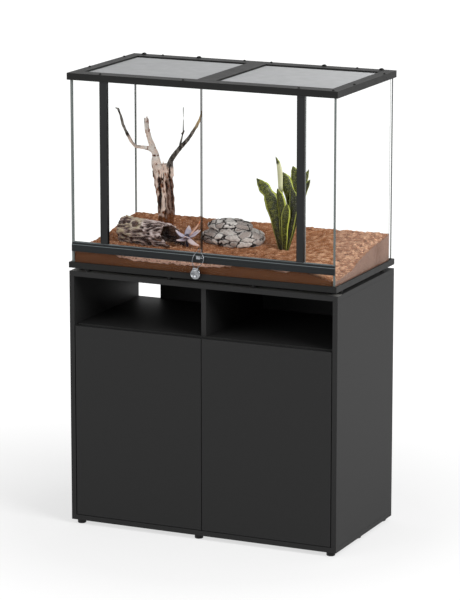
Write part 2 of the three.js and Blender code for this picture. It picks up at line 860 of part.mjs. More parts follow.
// ---------------------------------------------------------------- terrarium: doors and lock
function glassDoors() {
  const group = new THREE.Group();
  const height = [glassDoorBottom, glassDoorTop];
  const glassFaces = [glassFront, glassFront + doorPaneThickness];
  const gripEnd = profileInnerX + profileGrip;
  for (const [side, sign] of bothSides) {
    const channel = block(
      [sign * profileInnerX, sign * profileOuterX],
      [doorPaneMiddleY + profileDepth / 2, doorPaneMiddleY - profileDepth / 2],
      height,
    );
    const slot = block(
      [sign * (profileInnerX - 1), sign * (gripEnd + fitGap)],
      [glassFaces[0] - fitGap, glassFaces[1] + fitGap],
      [height[0] - 1, height[1] + 1],
    );
    const pins = [
      [glassDoorBottom - pivotLength, glassDoorBottom + 1],
      [glassDoorTop - 1, glassDoorTop + pivotLength],
    ].map((limits) => rodAlongZ(pivotDiameter, sign * pivotX, pivotY, limits, 16));
    add(group, `hinge_profile_${side}`, joined(without(channel, slot), ...pins), blackPlastic);
    const pane = block([(sign * glassMeetingGap) / 2, sign * gripEnd], glassFaces, height);
    const holeLimits = [glassFaces[0] - 1, glassFaces[1] + 1];
    const wireHole = rodAlongY(wireHoleDiameter, wireHoleX, wireHoleZ, holeLimits, 16);
    const geometry = sign < 0 ? without(pane, wireHole) : pane;
    add(group, `glass_door_${side}`, geometry, clearGlass);
  }
  return group;
}

function wireLock() {
  const group = new THREE.Group();
  const lockZ = wireHoleZ - lockDrop;
  const lockY = -baseFrameDepth / 2 - fitGap - lockThickness / 2;
  const half = lockThickness / 2;
  const radius = lockDiameter / 2;
  const profile = [
    [0, -half],
    [radius - lockEdge, -half],
    [radius, -half + lockEdge],
    [radius, half - lockEdge],
    [radius - lockEdge, half],
    [0, half],
  ].map(([r, y]) => new THREE.Vector2(r, y));
  const drum = new THREE.LatheGeometry(profile, 24).translate(lockX, lockY, lockZ);
  const neckTop = lockZ + lockNeckHeight;
  const neck = block(
    [lockX - lockNeckWidth / 2, lockX + lockNeckWidth / 2],
    [lockY - lockNeckThickness / 2, lockY + lockNeckThickness / 2],
    [lockZ, neckTop],
  );
  add(group, "lock_body", joined(drum, neck), chrome);
  add(group, "lock_shackle", shackle(lockY, neckTop + fitGap), chrome);
  add(group, "lock_catch", lockCatch(), chrome);
  return group;
}

// Stiff steel wire: up from the lock, through the door's hole, back through the gap between the
// doors and down again, standing clear in front of the rail.
function shackle(lockY, endZ) {
  const legX = lockNeckWidth / 2 - 2 * wireDiameter;
  const glassBack = glassFront + doorPaneThickness;
  const behind = glassBack + 1.4 * wireDiameter;
  const route = [
    [lockX - legX, lockY, endZ],
    [lockX - legX, lockY, endZ + 5],
    [lockX - 11.5, lockY + 1, endZ + 12],
    [lockX - 14.5, lockY + 3, endZ + 27],
    [lockX - 8, lockY + 6, endZ + 42],
    [wireHoleX - 1.5, glassFront - 6, wireHoleZ - 7],
    [wireHoleX, glassFront - 1, wireHoleZ],
    [wireHoleX, glassBack, wireHoleZ],
    [wireHoleX + 2.5, behind, wireHoleZ],
    [-2.5, behind, wireHoleZ],
    [0, glassBack, wireHoleZ],
    [0, glassFront - 1, wireHoleZ - 1],
    [0, glassFront - 5, wireHoleZ - 7],
    [0, glassFront - 7.5, glassDoorBottom - 2],
    [lockX + 26, lockY + 6, endZ + 40],
    [lockX + 30.5, lockY + 3, endZ + 28],
    [lockX + 22, lockY + 1, endZ + 13],
    [lockX + legX, lockY, endZ + 5],
    [lockX + legX, lockY, endZ],
  ].map(([x, y, z]) => new THREE.Vector3(x, y, z));
  const section = new THREE.Shape();
  section.absarc(0, 0, wireDiameter / 2, 0, 2 * Math.PI);
  const path = new THREE.CatmullRomCurve3(route, false, "catmullrom", 0.4);
  const options = { steps: 56, curveSegments: 4, bevelEnabled: false, extrudePath: path };
  return new THREE.ExtrudeGeometry(section, options);
}

// The bright keeper on the rail's face, with the bar that the wire would be held by.
function lockCatch() {
  const top = railTop - railBevelHeight;
  const bottom = top - catchHeight;
  const barZ = bottom + catchHeight / 3;
  const plate = block(
    [catchX - catchWidth / 2, catchX + catchWidth / 2],
    [railFront - catchThickness, railFront],
    [bottom, top],
  );
  const bar = block(
    [catchX, catchX + catchWidth / 2 + catchBarLength],
    [railFront - catchThickness, railFront],
    [barZ, barZ + catchBarThickness],
  );
  return joined(plate, bar);
}

// ---------------------------------------------------------------- furnishings
function soilSurface(x, y) {
  const back = Math.min(Math.max((y - insideFront) / (insideRear - insideFront), 0), 1);
  const slope = soilFrontHeight + (soilBackHeight - soilFrontHeight) * back ** soilSteepness;
  const dip = soilDip * Math.exp(-(((x - soilDipX) / soilDipWidth) ** 2)) * (1 - back) ** 3;
  const ripple = soilRipple * Math.sin(x / soilRippleX) * Math.cos(y / soilRippleY);
  return floorGlassTop + slope - dip + ripple;
}

// The soil bed between the panes; lift raises its upper face, to cut what rests on it.
function soilBed(lift = 0) {
  const width = 2 * (insideX - fitGap);
  const depth = insideRear - insideFront - 2 * fitGap;
  const middleY = (insideRear + insideFront) / 2;
  const bed = new THREE.BoxGeometry(width, depth, 1, 18, 12, 1);
  const place = bed.attributes.position;
  for (let i = 0; i < place.count; i++) {
    const x = place.getX(i);
    const y = place.getY(i) + middleY;
    const isTop = place.getZ(i) > 0;
    place.setXYZ(i, x, y, isTop ? soilSurface(x, y) + lift : floorGlassTop);
  }
  return bed;
}

// Whatever stands in the soil is trimmed to the soil's own upper face, less the fitting gap.
function standingInSoil(geometry) {
  return without(geometry, soilBed(fitGap));
}

function onSoil([shareX, shareY]) {
  return [shareX * insideX, shareY * insideRear];
}

// Stations are drawn for a piece 450 high, from its foot.
function driftwood() {
  const [x0, y0] = onSoil(driftwoodPlace);
  const z0 = soilSurface(x0, y0);
  const unit = driftwoodHeight / 450;
  const stations = (list) =>
    list.map(([x, y, z, r]) => [x0 + x * unit, y0 + y * unit, z0 + z * unit, r * unit]);
  const trunk = [
    [3, 0, -22, 26],
    [2, 0, 60, 29],
    [-2, 0, 130, 32],
    [-10, 0, 197, 34],
    [-16, 0, 240, 26],
  ];
  const leftStub = [
    [-16, 0, 190, 22],
    [-38, 2, 235, 17],
    [-46, 4, 262, 9],
  ];
  const leftBranch = [
    [-34, 2, 225, 13],
    [-46, 0, 285, 10],
    [-80, -10, 297, 7],
    [-106, -20, 300, 6],
    [-129, -30, 337, 6],
    [-142, -45, 379, 5],
    [-152, -60, 434, 4],
    [-162, -70, 439, 2],
  ];
  const middleBranch = [
    [-30, 2, 235, 13],
    [-40, 5, 271, 12],
    [-63, 10, 317, 10],
    [-77, 15, 353, 9],
    [-84, 20, 395, 8],
  ];
  const rightBranch = [
    [0, 0, 170, 22],
    [14, -2, 215, 15],
    [21, -5, 253, 10],
    [56, -10, 299, 8.5],
    [91, -15, 335, 7],
    [119, -20, 372, 6],
    [142, -25, 409, 5],
    [155, -30, 448, 2.5],
  ];
  const twig = [
    [52, -10, 292, 4],
    [71, -5, 361, 3],
    [71, -5, 450, 1.5],
  ];
  const limbs = [leftStub, leftBranch, middleBranch, rightBranch].map((list) => limb(stations(list)));
  const whole = joined(limb(stations(trunk), 12, 2), ...limbs, limb(stations(twig), 6, 2));
  return standingInSoil(whole);
}

// A hollow length of bark lying on the soil, its right end broken off at a slant.
function logHide() {
  const [leftX, leftY] = onSoil(logLeft);
  const [rightX, rightY] = onSoil(logRight);
  const leftZ = soilSurface(leftX, leftY) + logSeat + logRadiusLeft * 0.7;
  const rightZ = soilSurface(rightX, rightY) + logSeat + logRadiusRight * 0.7;
  const left = new THREE.Vector3(leftX, leftY, leftZ);
  const right = new THREE.Vector3(rightX, rightY, rightZ);
  const outer = barkTube(left, right, logRadiusLeft, logRadiusRight, 0);
  const axis = right.clone().sub(left).normalize();
  const boreLeft = left.clone().addScaledVector(axis, -1);
  const boreRight = right.clone().addScaledVector(axis, 1);
  const bore = barkTube(boreLeft, boreRight, logRadiusLeft, logRadiusRight, logBark);
  const cutterSize = 8 * logRadiusLeft;
  const cutter = new THREE.BoxGeometry(cutterSize, cutterSize, cutterSize);
  cutter.translate(cutterSize / 2, 0, 0);
  cutter.rotateY(THREE.MathUtils.degToRad(-logMouthTilt));
  cutter.rotateZ(THREE.MathUtils.degToRad(-logMouthTurn));
  const mouth = left.clone().lerp(right, logMouthShare);
  cutter.translate(mouth.x, mouth.y, mouth.z);
  return standingInSoil(without(outer, bore, cutter));
}

// A lumpy tapered tube between two points, drawn in by the given wall.
function barkTube(from, to, radiusFrom, radiusTo, wall) {
  const steps = 8;
  const sides = 16;
  const axis = to.clone().sub(from).normalize();
  const across = new THREE.Vector3(0, 0, 1).cross(axis).normalize();
  const up = axis.clone().cross(across);
  const rings = [];
  for (let step = 0; step <= steps; step++) {
    const share = step / steps;
    const centre = from.clone().lerp(to, share);
    const radius = radiusFrom + (radiusTo - radiusFrom) * share;
    const ring = [];
    for (let side = 0; side < sides; side++) {
      const angle = (side / sides) * 2 * Math.PI;
      const lump = 1 + 0.06 * Math.sin(3 * angle + 5 * share) + 0.03 * Math.sin(7 * angle - 9 * share);
      const reach = radius * lump - wall;
      const spoke = across.clone().multiplyScalar(reach * Math.cos(angle));
      ring.push(spoke.addScaledVector(up, reach * Math.sin(angle)).add(centre));
    }
    rings.push(ring);
  }
  return loft(rings);
}

// A rounded boulder with shallow hollows, from a formula on the directions of a sphere.
function boulder(centre, size, lift, turn) {
  const [x, y] = onSoil(centre);
  const ball = new THREE.IcosahedronGeometry(1, 4);
  const place = ball.attributes.position;
  const point = new THREE.Vector3();
  for (let i = 0; i < place.count; i++) {
    point.fromBufferAttribute(place, i).normalize();
    const lump = 1 + 0.05 * Math.sin(4 * point.x + turn) + 0.05 * Math.sin(5 * point.y - 3 * point.x);
    const squared = [point.x, point.y, point.z].map((c) => Math.sign(c) * Math.abs(c) ** 0.8);
    place.setXYZ(i, ...squared.map((c, axis) => c * lump * size[axis]));
  }
  return ball.translate(x, y, soilSurface(x, y) + lift);
}

function stones() {
  const group = new THREE.Group();
  const lower = boulder(lowerStoneCentre, lowerStoneSize, lowerStoneLift, 0.6);
  const upper = boulder(upperStoneCentre, upperStoneSize, upperStoneLift, 2.1);
  const seat = lower.clone().translate(0, 0, fitGap);
  add(group, "stone_lower", standingInSoil(lower), stoneFinish);
  add(group, "stone_upper", standingInSoil(without(upper, seat)), stoneFinish);
  return group;
}

// A leaf blade along [x, y, z] points, widest past its middle, with an elliptical section.
function blade(points, width, thickness, facing, steps = 7) {
  const line = new THREE.CatmullRomCurve3(points.map((p) => new THREE.Vector3(...p)));
  const front = new THREE.Vector3(...facing).normalize();
  const sides = 6;
  const rings = [];
  for (let step = 0; step <= steps; step++) {
    const share = step / steps;
    const centre = line.getPoint(share);
    const tangent = line.getTangent(share);
    const across = tangent.clone().cross(front).normalize();
    const through = tangent.clone().cross(across);
    const swell = 0.42 + 0.58 * Math.sin(Math.PI * Math.min(share * 1.05, 1) ** 0.9);
    const point = share > 0.75 ? Math.sqrt(Math.max(1 - ((share - 0.75) / 0.27) ** 2, 0)) : 1;
    const halfWidth = Math.max((width / 2) * swell * point, 0.6);
    const halfThickness = Math.max((thickness / 2) * (1 - 0.6 * share), 0.5);
    const ring = [];
    for (let side = 0; side < sides; side++) {
      const angle = (side / sides) * 2 * Math.PI;
      const spoke = across.clone().multiplyScalar(halfWidth * Math.cos(angle));
      ring.push(spoke.addScaledVector(through, halfThickness * Math.sin(angle)).add(centre));
    }
    rings.push(ring);
  }
  return loft(rings);
}

// Upright sword-shaped leaves from one crown: [points from the crown, width, facing], drawn for
// a plant 320 high.
function leafyPlant() {
  const [x0, y0] = onSoil(plantPlace);
  const z0 = soilSurface(x0, y0);
  const unit = plantHeight / 320;
  const front = [0, -1, 0];
  const leaves = [
    [[[-8, -4, -12], [-33, -10, 132], [-55, -12, 203], [-97, -15, 246]], 54, front],
    [[[-4, -6, -12], [-6, -15, 150], [-18, -20, 220]], 38, front],
    [[[4, -10, -12], [12, -26, 110], [24, -30, 172]], 38, front],
    [[[0, 6, -12], [16, 12, 160], [-1, 16, 230], [-13, 18, 267]], 46, front],
    [[[-6, 8, -12], [-24, 10, 200], [-29, 10, 280], [-38, 10, 321]], 30, [-0.3, -1, 0]],
    [[[4, 12, -12], [24, 24, 200], [27, 28, 260], [18, 30, 289]], 32, front],
    [[[8, 6, -12], [50, 28, 200], [75, 36, 283]], 24, [0.5, -1, 0]],
    [[[9, 0, -12], [42, 4, 120], [68, 8, 210], [91, 10, 253]], 30, [0.6, -1, 0]],
    [[[6, -4, -12], [33, -4, 150], [24, 0, 222]], 36, [0.3, -1, 0]],
  ].map(([points, width, facing]) => {
    const placed = points.map(([x, y, z]) => [x0 + x * unit, y0 + y * unit, z0 + z * unit]);
    return blade(placed, width * unit, leafThickness, facing);
  });
  const crown = rodAlongZ(26 * unit, x0, y0, [z0 - 16 * unit, z0 + 10 * unit], 12);
  return standingInSoil(joined(crown, ...leaves));
}

// A star of pointed fleshy leaves on a short stem: [bearing and rise in degrees, share of reach].
function succulent() {
  const [x0, y0] = onSoil(succulentPlace);
  const foot = soilSurface(x0, y0);
  const z0 = foot + succulentStem;
  const leaves = [
    [-24, -22, 0.9],
    [18, 26, 0.72],
    [14, 50, 1],
    [62, 18, 0.68],
    [105, 40, 0.62],
    [180, 22, 0.64],
    [-122, -12, 0.6],
    [-72, 10, 0.66],
  ].map(([bearing, rise, share]) => {
    const turn = THREE.MathUtils.degToRad(bearing);
    const tilt = THREE.MathUtils.degToRad(rise);
    const length = succulentReach * share;
    const out = [Math.cos(turn) * Math.cos(tilt), Math.sin(turn) * Math.cos(tilt), Math.sin(tilt)];
    const at = (part, lift) => [
      x0 + out[0] * length * part,
      y0 + out[1] * length * part,
      z0 + (out[2] * part + lift) * length,
    ];
    const points = [at(0.03, 0), at(0.5, -0.03), at(1, 0.04)];
    const facing = [-Math.cos(turn) * out[2], -Math.sin(turn) * out[2], Math.cos(tilt)];
    return blade(points, succulentLeafWidth, succulentLeafThickness, facing, 5);
  });
  const core = new THREE.IcosahedronGeometry(succulentLeafWidth / 2, 2).translate(x0, y0, z0);
  const stem = rodAlongZ(succulentStemDiameter, x0, y0, [foot - succulentStemDiameter, z0], 10);
  return standingInSoil(joined(core, stem, ...leaves));
}

// ---------------------------------------------------------------- assembly
function terrarium() {
  const group = new THREE.Group();
  add(group, "base_frame", baseFrame(), blackFrame);
  group.add(panes());
  add(group, "front_rail", frontRail(), blackFrame);
  add(group, "top_frame", topFrame(), blackFrame);
  add(group, "top_crossbar", topCrossbar(), blackFrame);
  group.add(lids(), glassDoors(), wireLock());
  return group;
}

function furnishings() {
  const group = new THREE.Group();
  add(group, "soil", soilBed(), soilFinish);
  add(group, "driftwood", driftwood(), driftwoodFinish);
  add(group, "log_hide", logHide(), barkFinish);
  group.add(stones());
  add(group, "leafy_plant", leafyPlant(), leafFinish);
  add(group, "succulent", succulent(), succulentFinish);
  return group;
}

terrariumCabinet.add(cabinetCarcass(), cabinetDoors(), pushLatches(), terrarium(), furnishings());

// The origin is the middle of the whole footprint; the lock makes the front reach a little further.
const footprint = new THREE.Box3().setFromObject(terrariumCabinet, true);
terrariumCabinet.position.y = -(footprint.min.y + footprint.max.y) / 2;

export default terrariumCabinet;
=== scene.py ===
import json
import math
import bpy
import bmesh
from mathutils import Matrix, Vector, noise


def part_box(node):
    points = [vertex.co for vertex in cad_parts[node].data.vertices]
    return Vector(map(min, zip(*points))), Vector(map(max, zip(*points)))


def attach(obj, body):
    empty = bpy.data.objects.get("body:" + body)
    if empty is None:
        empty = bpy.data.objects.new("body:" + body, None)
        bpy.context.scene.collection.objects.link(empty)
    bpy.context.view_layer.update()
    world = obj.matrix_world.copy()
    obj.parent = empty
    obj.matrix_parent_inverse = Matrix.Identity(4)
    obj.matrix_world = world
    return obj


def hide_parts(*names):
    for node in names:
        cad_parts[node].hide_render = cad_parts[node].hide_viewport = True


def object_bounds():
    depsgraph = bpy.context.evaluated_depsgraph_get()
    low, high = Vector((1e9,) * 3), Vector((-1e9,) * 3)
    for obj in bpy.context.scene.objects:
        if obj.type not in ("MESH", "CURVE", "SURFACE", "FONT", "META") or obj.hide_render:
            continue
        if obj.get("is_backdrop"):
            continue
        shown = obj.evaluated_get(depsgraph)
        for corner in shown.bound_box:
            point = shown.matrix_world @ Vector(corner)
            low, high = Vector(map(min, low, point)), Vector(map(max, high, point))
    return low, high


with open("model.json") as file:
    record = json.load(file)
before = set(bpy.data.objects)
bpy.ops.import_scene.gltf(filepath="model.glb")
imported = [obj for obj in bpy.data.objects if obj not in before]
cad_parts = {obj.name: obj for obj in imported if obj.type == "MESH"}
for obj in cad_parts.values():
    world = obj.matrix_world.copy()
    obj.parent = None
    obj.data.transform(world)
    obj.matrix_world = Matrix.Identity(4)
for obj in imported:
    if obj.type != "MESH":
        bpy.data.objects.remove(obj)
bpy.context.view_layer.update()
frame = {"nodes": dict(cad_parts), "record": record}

# ---------------------------------------------------------------- the view and the studio
# A long lens stands a little above the terrarium, to the right of its front. The floor runs back
# out of sight and shows white, keeping only the cabinet's soft shadow. The light is wide and soft,
# stronger from the right, so the cabinet's side is lighter than its doors.
def stood_at(name, data, place, aim):
    holder = bpy.data.objects.new(name, data)
    holder.location = place
    holder.rotation_euler = Vector(aim).to_track_quat("-Z", "Y").to_euler()
    bpy.context.scene.collection.objects.link(holder)
    return holder


camera_data = bpy.data.cameras.new("studio_camera")
camera_data.lens = 193.33
camera_data.sensor_width = 36
camera_data.clip_start = 0.1
camera_data.clip_end = 200
bpy.context.scene.camera = stood_at(
    "studio_camera", camera_data, (4.5129, -9.86295, 3.2064), (-0.40649, 0.88751, -0.21700)
)
bpy.context.scene.view_settings.view_transform = "Standard"


def fed(tree, node, inputs):
    # Joins the node's inputs, in order or by name, to sockets, or sets their values.
    pairs = inputs.items() if isinstance(inputs, dict) else enumerate(inputs)
    for key, given in pairs:
        if isinstance(given, bpy.types.NodeSocket):
            tree.links.new(given, node.inputs[key])
        else:
            node.inputs[key].default_value = given
    return node


def new_node(tree, kind, *inputs):
    return fed(tree, tree.nodes.new(kind), inputs)


def maths(tree, operation, *terms, clamped=False):
    node = tree.nodes.new("ShaderNodeMath")
    node.operation = operation
    node.use_clamp = clamped
    return fed(tree, node, terms).outputs[0]


def bare_material(name):
    finish = bpy.data.materials.new(name)
    finish.use_nodes = True
    finish.node_tree.nodes.clear()
    return finish, finish.node_tree


def mesh_from(bm, name):
    mesh = bpy.data.meshes.new(name)
    bm.to_mesh(mesh)
    bm.free()
    return mesh


def seen_straight_on(tree):
    # 1 for rays from the camera and those that reflect or pass through glass, else 0.
    path = tree.nodes.new("ShaderNodeLightPath").outputs
    either = maths(tree, "MAXIMUM", path["Is Camera Ray"], path["Is Glossy Ray"])
    return maths(tree, "MAXIMUM", either, path["Is Transmission Ray"])


bm = bmesh.new()
bmesh.ops.create_grid(bm, x_segments=1, y_segments=1, size=90)
mesh = mesh_from(bm, "studio_floor")
floor = bpy.data.objects.new("studio_floor", mesh)
bpy.context.scene.collection.objects.link(floor)
white, tree = bare_material("studio_floor_white")
# White far behind; a little greyer where the cabinet stands, so that its shadow shows.
place = tree.nodes.new("ShaderNodeTexCoord")
apart = new_node(tree, "ShaderNodeVectorMath", place.outputs["Object"])
apart.operation = "LENGTH"
fading = new_node(tree, "ShaderNodeMapRange", apart.outputs["Value"], 0.7, 2.6, 0.66, 1.0)
glow = new_node(tree, "ShaderNodeEmission", (1, 1, 1, 1), fading.outputs[0])
lit = new_node(tree, "ShaderNodeBsdfDiffuse", (0.32, 0.32, 0.32, 1))
shown = new_node(tree, "ShaderNodeAddShader", lit.outputs[0], glow.outputs[0])
bounce = new_node(tree, "ShaderNodeBsdfDiffuse", (0.75, 0.75, 0.75, 1))
mixed = new_node(
    tree, "ShaderNodeMixShader", seen_straight_on(tree), bounce.outputs[0], shown.outputs[0]
)
new_node(tree, "ShaderNodeOutputMaterial", mixed.outputs[0])
mesh.materials.append(white)
floor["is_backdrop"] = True
world = bpy.data.worlds.new("studio_world")
bpy.context.scene.world = world
world.use_nodes = True
tree = world.node_tree
tree.nodes.clear()
soft, white = (
    fed(tree, tree.nodes.new("ShaderNodeBackground"), {"Strength": strength}).outputs[0]
    for strength in (0.42, 1.0)
)
mixed = new_node(tree, "ShaderNodeMixShader", seen_straight_on(tree), soft, white)
new_node(tree, "ShaderNodeOutputWorld", mixed.outputs[0])
for name, size, power, place in (
    ("key_from_right", 3.0, 200, (4.2, -1.6, 3.6)),
    ("fill_from_front", 3.5, 62, (-2.4, -4.6, 2.6)),
    ("top_light", 2.5, 34, (0.2, 0.6, 4.6)),
):
    lamp = bpy.data.lights.new(name, "AREA")
    lamp.shape = "DISK"
    lamp.size = size
    lamp.energy = power
    stood_at(name, lamp, place, Vector((0, 0, 0.9)) - Vector(place))


# ---------------------------------------------------------------- the cabinet's boards
# Chipboard faced with a black melamine laminate, cut square and edge-banded, dowelled and screwed
# together. The faces have a very fine matt grain and the banded edges are eased by half a
# millimetre. The back is a thinner board with one corner cut out for cables.
def rgb(*screen):
    # A screen colour, from 0 to 255, as the light that shaders take.
    parts = (value / 255 for value in screen)
    light = (p / 12.92 if p <= 0.04045 else ((p + 0.055) / 1.055) ** 2.4 for p in parts)
    return (*light, 1)


def new_finish(name, roughness, metallic=0.0, specular=0.5):
    finish = bpy.data.materials.new(name)
    finish.use_nodes = True
    tree = finish.node_tree
    shader = fed(tree, tree.nodes["Principled BSDF"], {
        "Roughness": roughness, "Metallic": metallic, "Specular IOR Level": specular,
    })
    return finish, tree, shader


def speckle(tree, scale, stretch=(1, 1, 1), detail=4, distortion=0.0, place=None):
    # A noise on the piece's own coordinates, finer with a larger scale.
    if place is None:
        place = tree.nodes.new("ShaderNodeTexCoord").outputs["Object"]
    turn = fed(tree, tree.nodes.new("ShaderNodeMapping"), {"Vector": place, "Scale": stretch})
    grains = fed(tree, tree.nodes.new("ShaderNodeTexNoise"), {
        "Vector": turn.outputs[0], "Scale": scale, "Detail": detail, "Distortion": distortion,
    })
    return grains.outputs["Fac"]


def shades(tree, value, *stops):
    # Colours along a value: each stop is (position, colour).
    ramp = new_node(tree, "ShaderNodeValToRGB", value)
    points = ramp.color_ramp.elements
    while len(points) < len(stops):
        points.new(0.5)
    for point, (position, colour) in zip(points, stops):
        point.position = position
        point.color = colour
    return ramp.outputs["Color"]


def two_tone(tree, shader, value, dark, light, low=0.35, high=0.65):
    tree.links.new(shades(tree, value, (low, dark), (high, light)), shader.inputs["Base Color"])


def raised(tree, shader, value, height, strength):
    bump = fed(tree, tree.nodes.new("ShaderNodeBump"), {
        "Distance": height, "Strength": strength, "Height": value,
    })
    tree.links.new(bump.outputs["Normal"], shader.inputs["Normal"])


def uneven_gloss(tree, shader, value, low, high):
    spread = new_node(tree, "ShaderNodeMapRange", value, 0, 1, low, high)
    tree.links.new(spread.outputs[0], shader.inputs["Roughness"])


def laminate(name, dark, light):
    finish, tree, shader = new_finish(name, 0.55, specular=0.2)
    two_tone(tree, shader, speckle(tree, 420, detail=3), dark, light)
    raised(tree, shader, speckle(tree, 900, detail=2), 0.00015, 0.5)
    uneven_gloss(tree, shader, speckle(tree, 240, detail=5), 0.5, 0.6)
    return finish


def place_piece(name, mesh, body, finish, smooth=False):
    piece = bpy.data.objects.new(name, mesh)
    bpy.context.scene.collection.objects.link(piece)
    mesh.materials.append(finish)
    if smooth:
        mesh.polygons.foreach_set("use_smooth", [True] * len(mesh.polygons))
    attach(piece, body)
    return piece


def body_with(node):
    for body, members in frame["record"]["behaviour"]["bodies"].items():
        if node in members:
            return body


def welded_copy(node):
    bm = bmesh.new()
    bm.from_mesh(frame["nodes"][node].data)
    bmesh.ops.remove_doubles(bm, verts=bm.verts, dist=0.00001)
    return bm


def eased_copy(node, ease, finish):
    # The node's own shape with its sharp edges eased, standing in its place.
    bm = welded_copy(node)
    bmesh.ops.dissolve_limit(
        bm, angle_limit=math.radians(1), verts=bm.verts, edges=bm.edges, delimit=set()
    )
    sharp = [
        edge for edge in bm.edges
        if len(edge.link_faces) == 2 and edge.calc_face_angle() > math.radians(35)
    ]
    bmesh.ops.bevel(
        bm, geom=sharp, offset=ease, segments=2, profile=0.5, affect="EDGES",
        clamp_overlap=True, material=-1,
    )
    name = node + "_eased"
    piece = place_piece(name, mesh_from(bm, name), body_with(node), finish)
    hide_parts(node)


# The second laminate, for the cabinet's top, carries a painted pale band of light in the gap under
# the tank.
black_board, painted_gap_light_board = (
    laminate(name, rgb(34, 34, 34), rgb(37, 37, 37))
    for name in ("black_laminate", "painted_gap_light_laminate")
)
eased_copy("cabinet_top", 0.0006, painted_gap_light_board)
for board in (
    "cabinet_bottom", "side_panel_left", "side_panel_right", "shelf",
    "niche_divider", "centre_upright", "cabinet_door_left", "cabinet_door_right",
):
    eased_copy(board, 0.0006, black_board)
black_back = laminate("black_hardboard", rgb(28, 28, 28), rgb(36, 36, 36))
eased_copy("back_panel", 0.0004, black_back)


# ---------------------------------------------------------------- the feet, hinges and latches
# The feet are turned from black plastic. The concealed hinges are pressed from nickel-plated
# steel: a cup sunk in the door and an arm on a screwed plate. The latches are grey mouldings.
def dress(node, finish):
    frame["nodes"][node].material_slots[0].material = finish


def moulded(name, dark, light, roughness, specular=0.22):
    finish, tree, shader = new_finish(name, roughness, specular=specular)
    two_tone(tree, shader, speckle(tree, 320, detail=3), dark, light)
    raised(tree, shader, speckle(tree, 1400, detail=2), 0.0001, 0.6)
    uneven_gloss(tree, shader, speckle(tree, 35), roughness - 0.07, roughness + 0.08)
    return finish


def plated(name, colour, roughness):
    finish, tree, shader = new_finish(name, roughness, metallic=1.0)
    marks = speckle(tree, 60, stretch=(1, 1, 30), detail=5)
    darker = tuple(part * 0.82 for part in colour[:3]) + (1,)
    two_tone(tree, shader, marks, darker, colour, 0.3, 0.7)
    uneven_gloss(tree, shader, marks, roughness - 0.06, roughness + 0.12)
    raised(tree, shader, marks, 0.00004, 0.4)
    return finish


foot_black = moulded("foot_black", rgb(22, 22, 22), rgb(32, 32, 32), 0.5)
hinge_nickel = plated("hinge_nickel", rgb(205, 207, 210), 0.3)
latch_grey = moulded("latch_grey", rgb(128, 130, 133), rgb(142, 144, 146), 0.45)
for node in frame["nodes"]:
    if node.startswith("foot_"):
        dress(node, foot_black)
    if node.startswith("latch_"):
        eased_copy(node, 0.0006, latch_grey)
    if node.startswith("hinge_cup") or node.startswith("hinge_arm"):
        dress(node, hinge_nickel)


def screw_head(name, centre, outward, body):
    # A domed head with a cross driven into it.
    radius = 0.0042
    bm = bmesh.new()
    head = bmesh.ops.create_cone(
        bm, cap_ends=True, segments=16, radius1=radius, radius2=radius * 0.55, depth=radius * 0.45
    )
    tops = [face for face in bm.faces if face.normal.z > 0.9]
    bmesh.ops.inset_region(bm, faces=tops, thickness=radius * 0.12)
    bmesh.ops.translate(bm, vec=(0, 0, radius * 0.22), verts=head["verts"])
    for turn in (0, math.pi / 2):
        cross = bmesh.ops.create_cube(bm, size=1)["verts"]
        bmesh.ops.scale(bm, vec=(radius * 0.85, radius * 0.16, radius * 0.04), verts=cross)
        quarter = Matrix.Rotation(turn, 3, "Z")
        bmesh.ops.rotate(bm, cent=(0, 0, 0), matrix=quarter, verts=cross)
        bmesh.ops.translate(bm, vec=(0, 0, radius * 0.46), verts=cross)
    turn = Vector(outward).to_track_quat("Z", "Y").to_matrix()
    bmesh.ops.rotate(bm, cent=(0, 0, 0), matrix=turn, verts=bm.verts)
    bmesh.ops.translate(bm, vec=centre, verts=bm.verts)
    place_piece(name, mesh_from(bm, name), body, hinge_nickel)


# Two in each cup's flange and two in each arm's plate, which lies on the side panel's face.
panel_face, plate = 0.482, 0.0025
for side, sign in (("left", -1), ("right", 1)):
    for level in ("lower", "upper"):
        for part, spread, outward, body in (
            ("cup", 0.026, (0, 1, 0), f"door_{side}"),
            ("arm", 0.016, (-sign, 0, 0), "cabinet_and_tank"),
        ):
            low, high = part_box(f"hinge_{part}_{side}_{level}")
            middle = (low + high) / 2
            x, y = (middle.x, high.y)
            if part == "arm":
                x, y = (sign * (panel_face - plate), high.y - 0.02)
            for end, up in (("lower", -1), ("upper", 1)):
                name = f"{part}_screw_{side}_{level}_{end}"
                screw_head(name, (x, y, middle.z + up * spread), outward, body)


# ---------------------------------------------------------------- the terrarium's frames and rail
# The rims at the foot and the top, the bar between the lids and the lid frames are satin black
# mouldings. The rail in front and the two hinge profiles are black anodised extrusions, whose
# drawn lines run along them.
def extruded(name, dark, light, roughness, along):
    finish, tree, shader = new_finish(name, roughness, metallic=0.06, specular=0.2)
    stretch = tuple(1.5 if axis == along else 260 for axis in range(3))
    lines = speckle(tree, 1, stretch=stretch, detail=3)
    two_tone(tree, shader, lines, dark, light)
    raised(tree, shader, lines, 0.00005, 0.5)
    uneven_gloss(tree, shader, lines, roughness - 0.05, roughness + 0.06)
    return finish


def mixed_colour(tree, share, first, second, blend="MIX"):
    mixed = tree.nodes.new("ShaderNodeMix")
    mixed.data_type = "RGBA"
    mixed.blend_type = blend
    return fed(tree, mixed, {"Factor": share, 6: first, 7: second}).outputs[2]


def parts_of(tree, vector):
    return new_node(tree, "ShaderNodeSeparateXYZ", vector).outputs


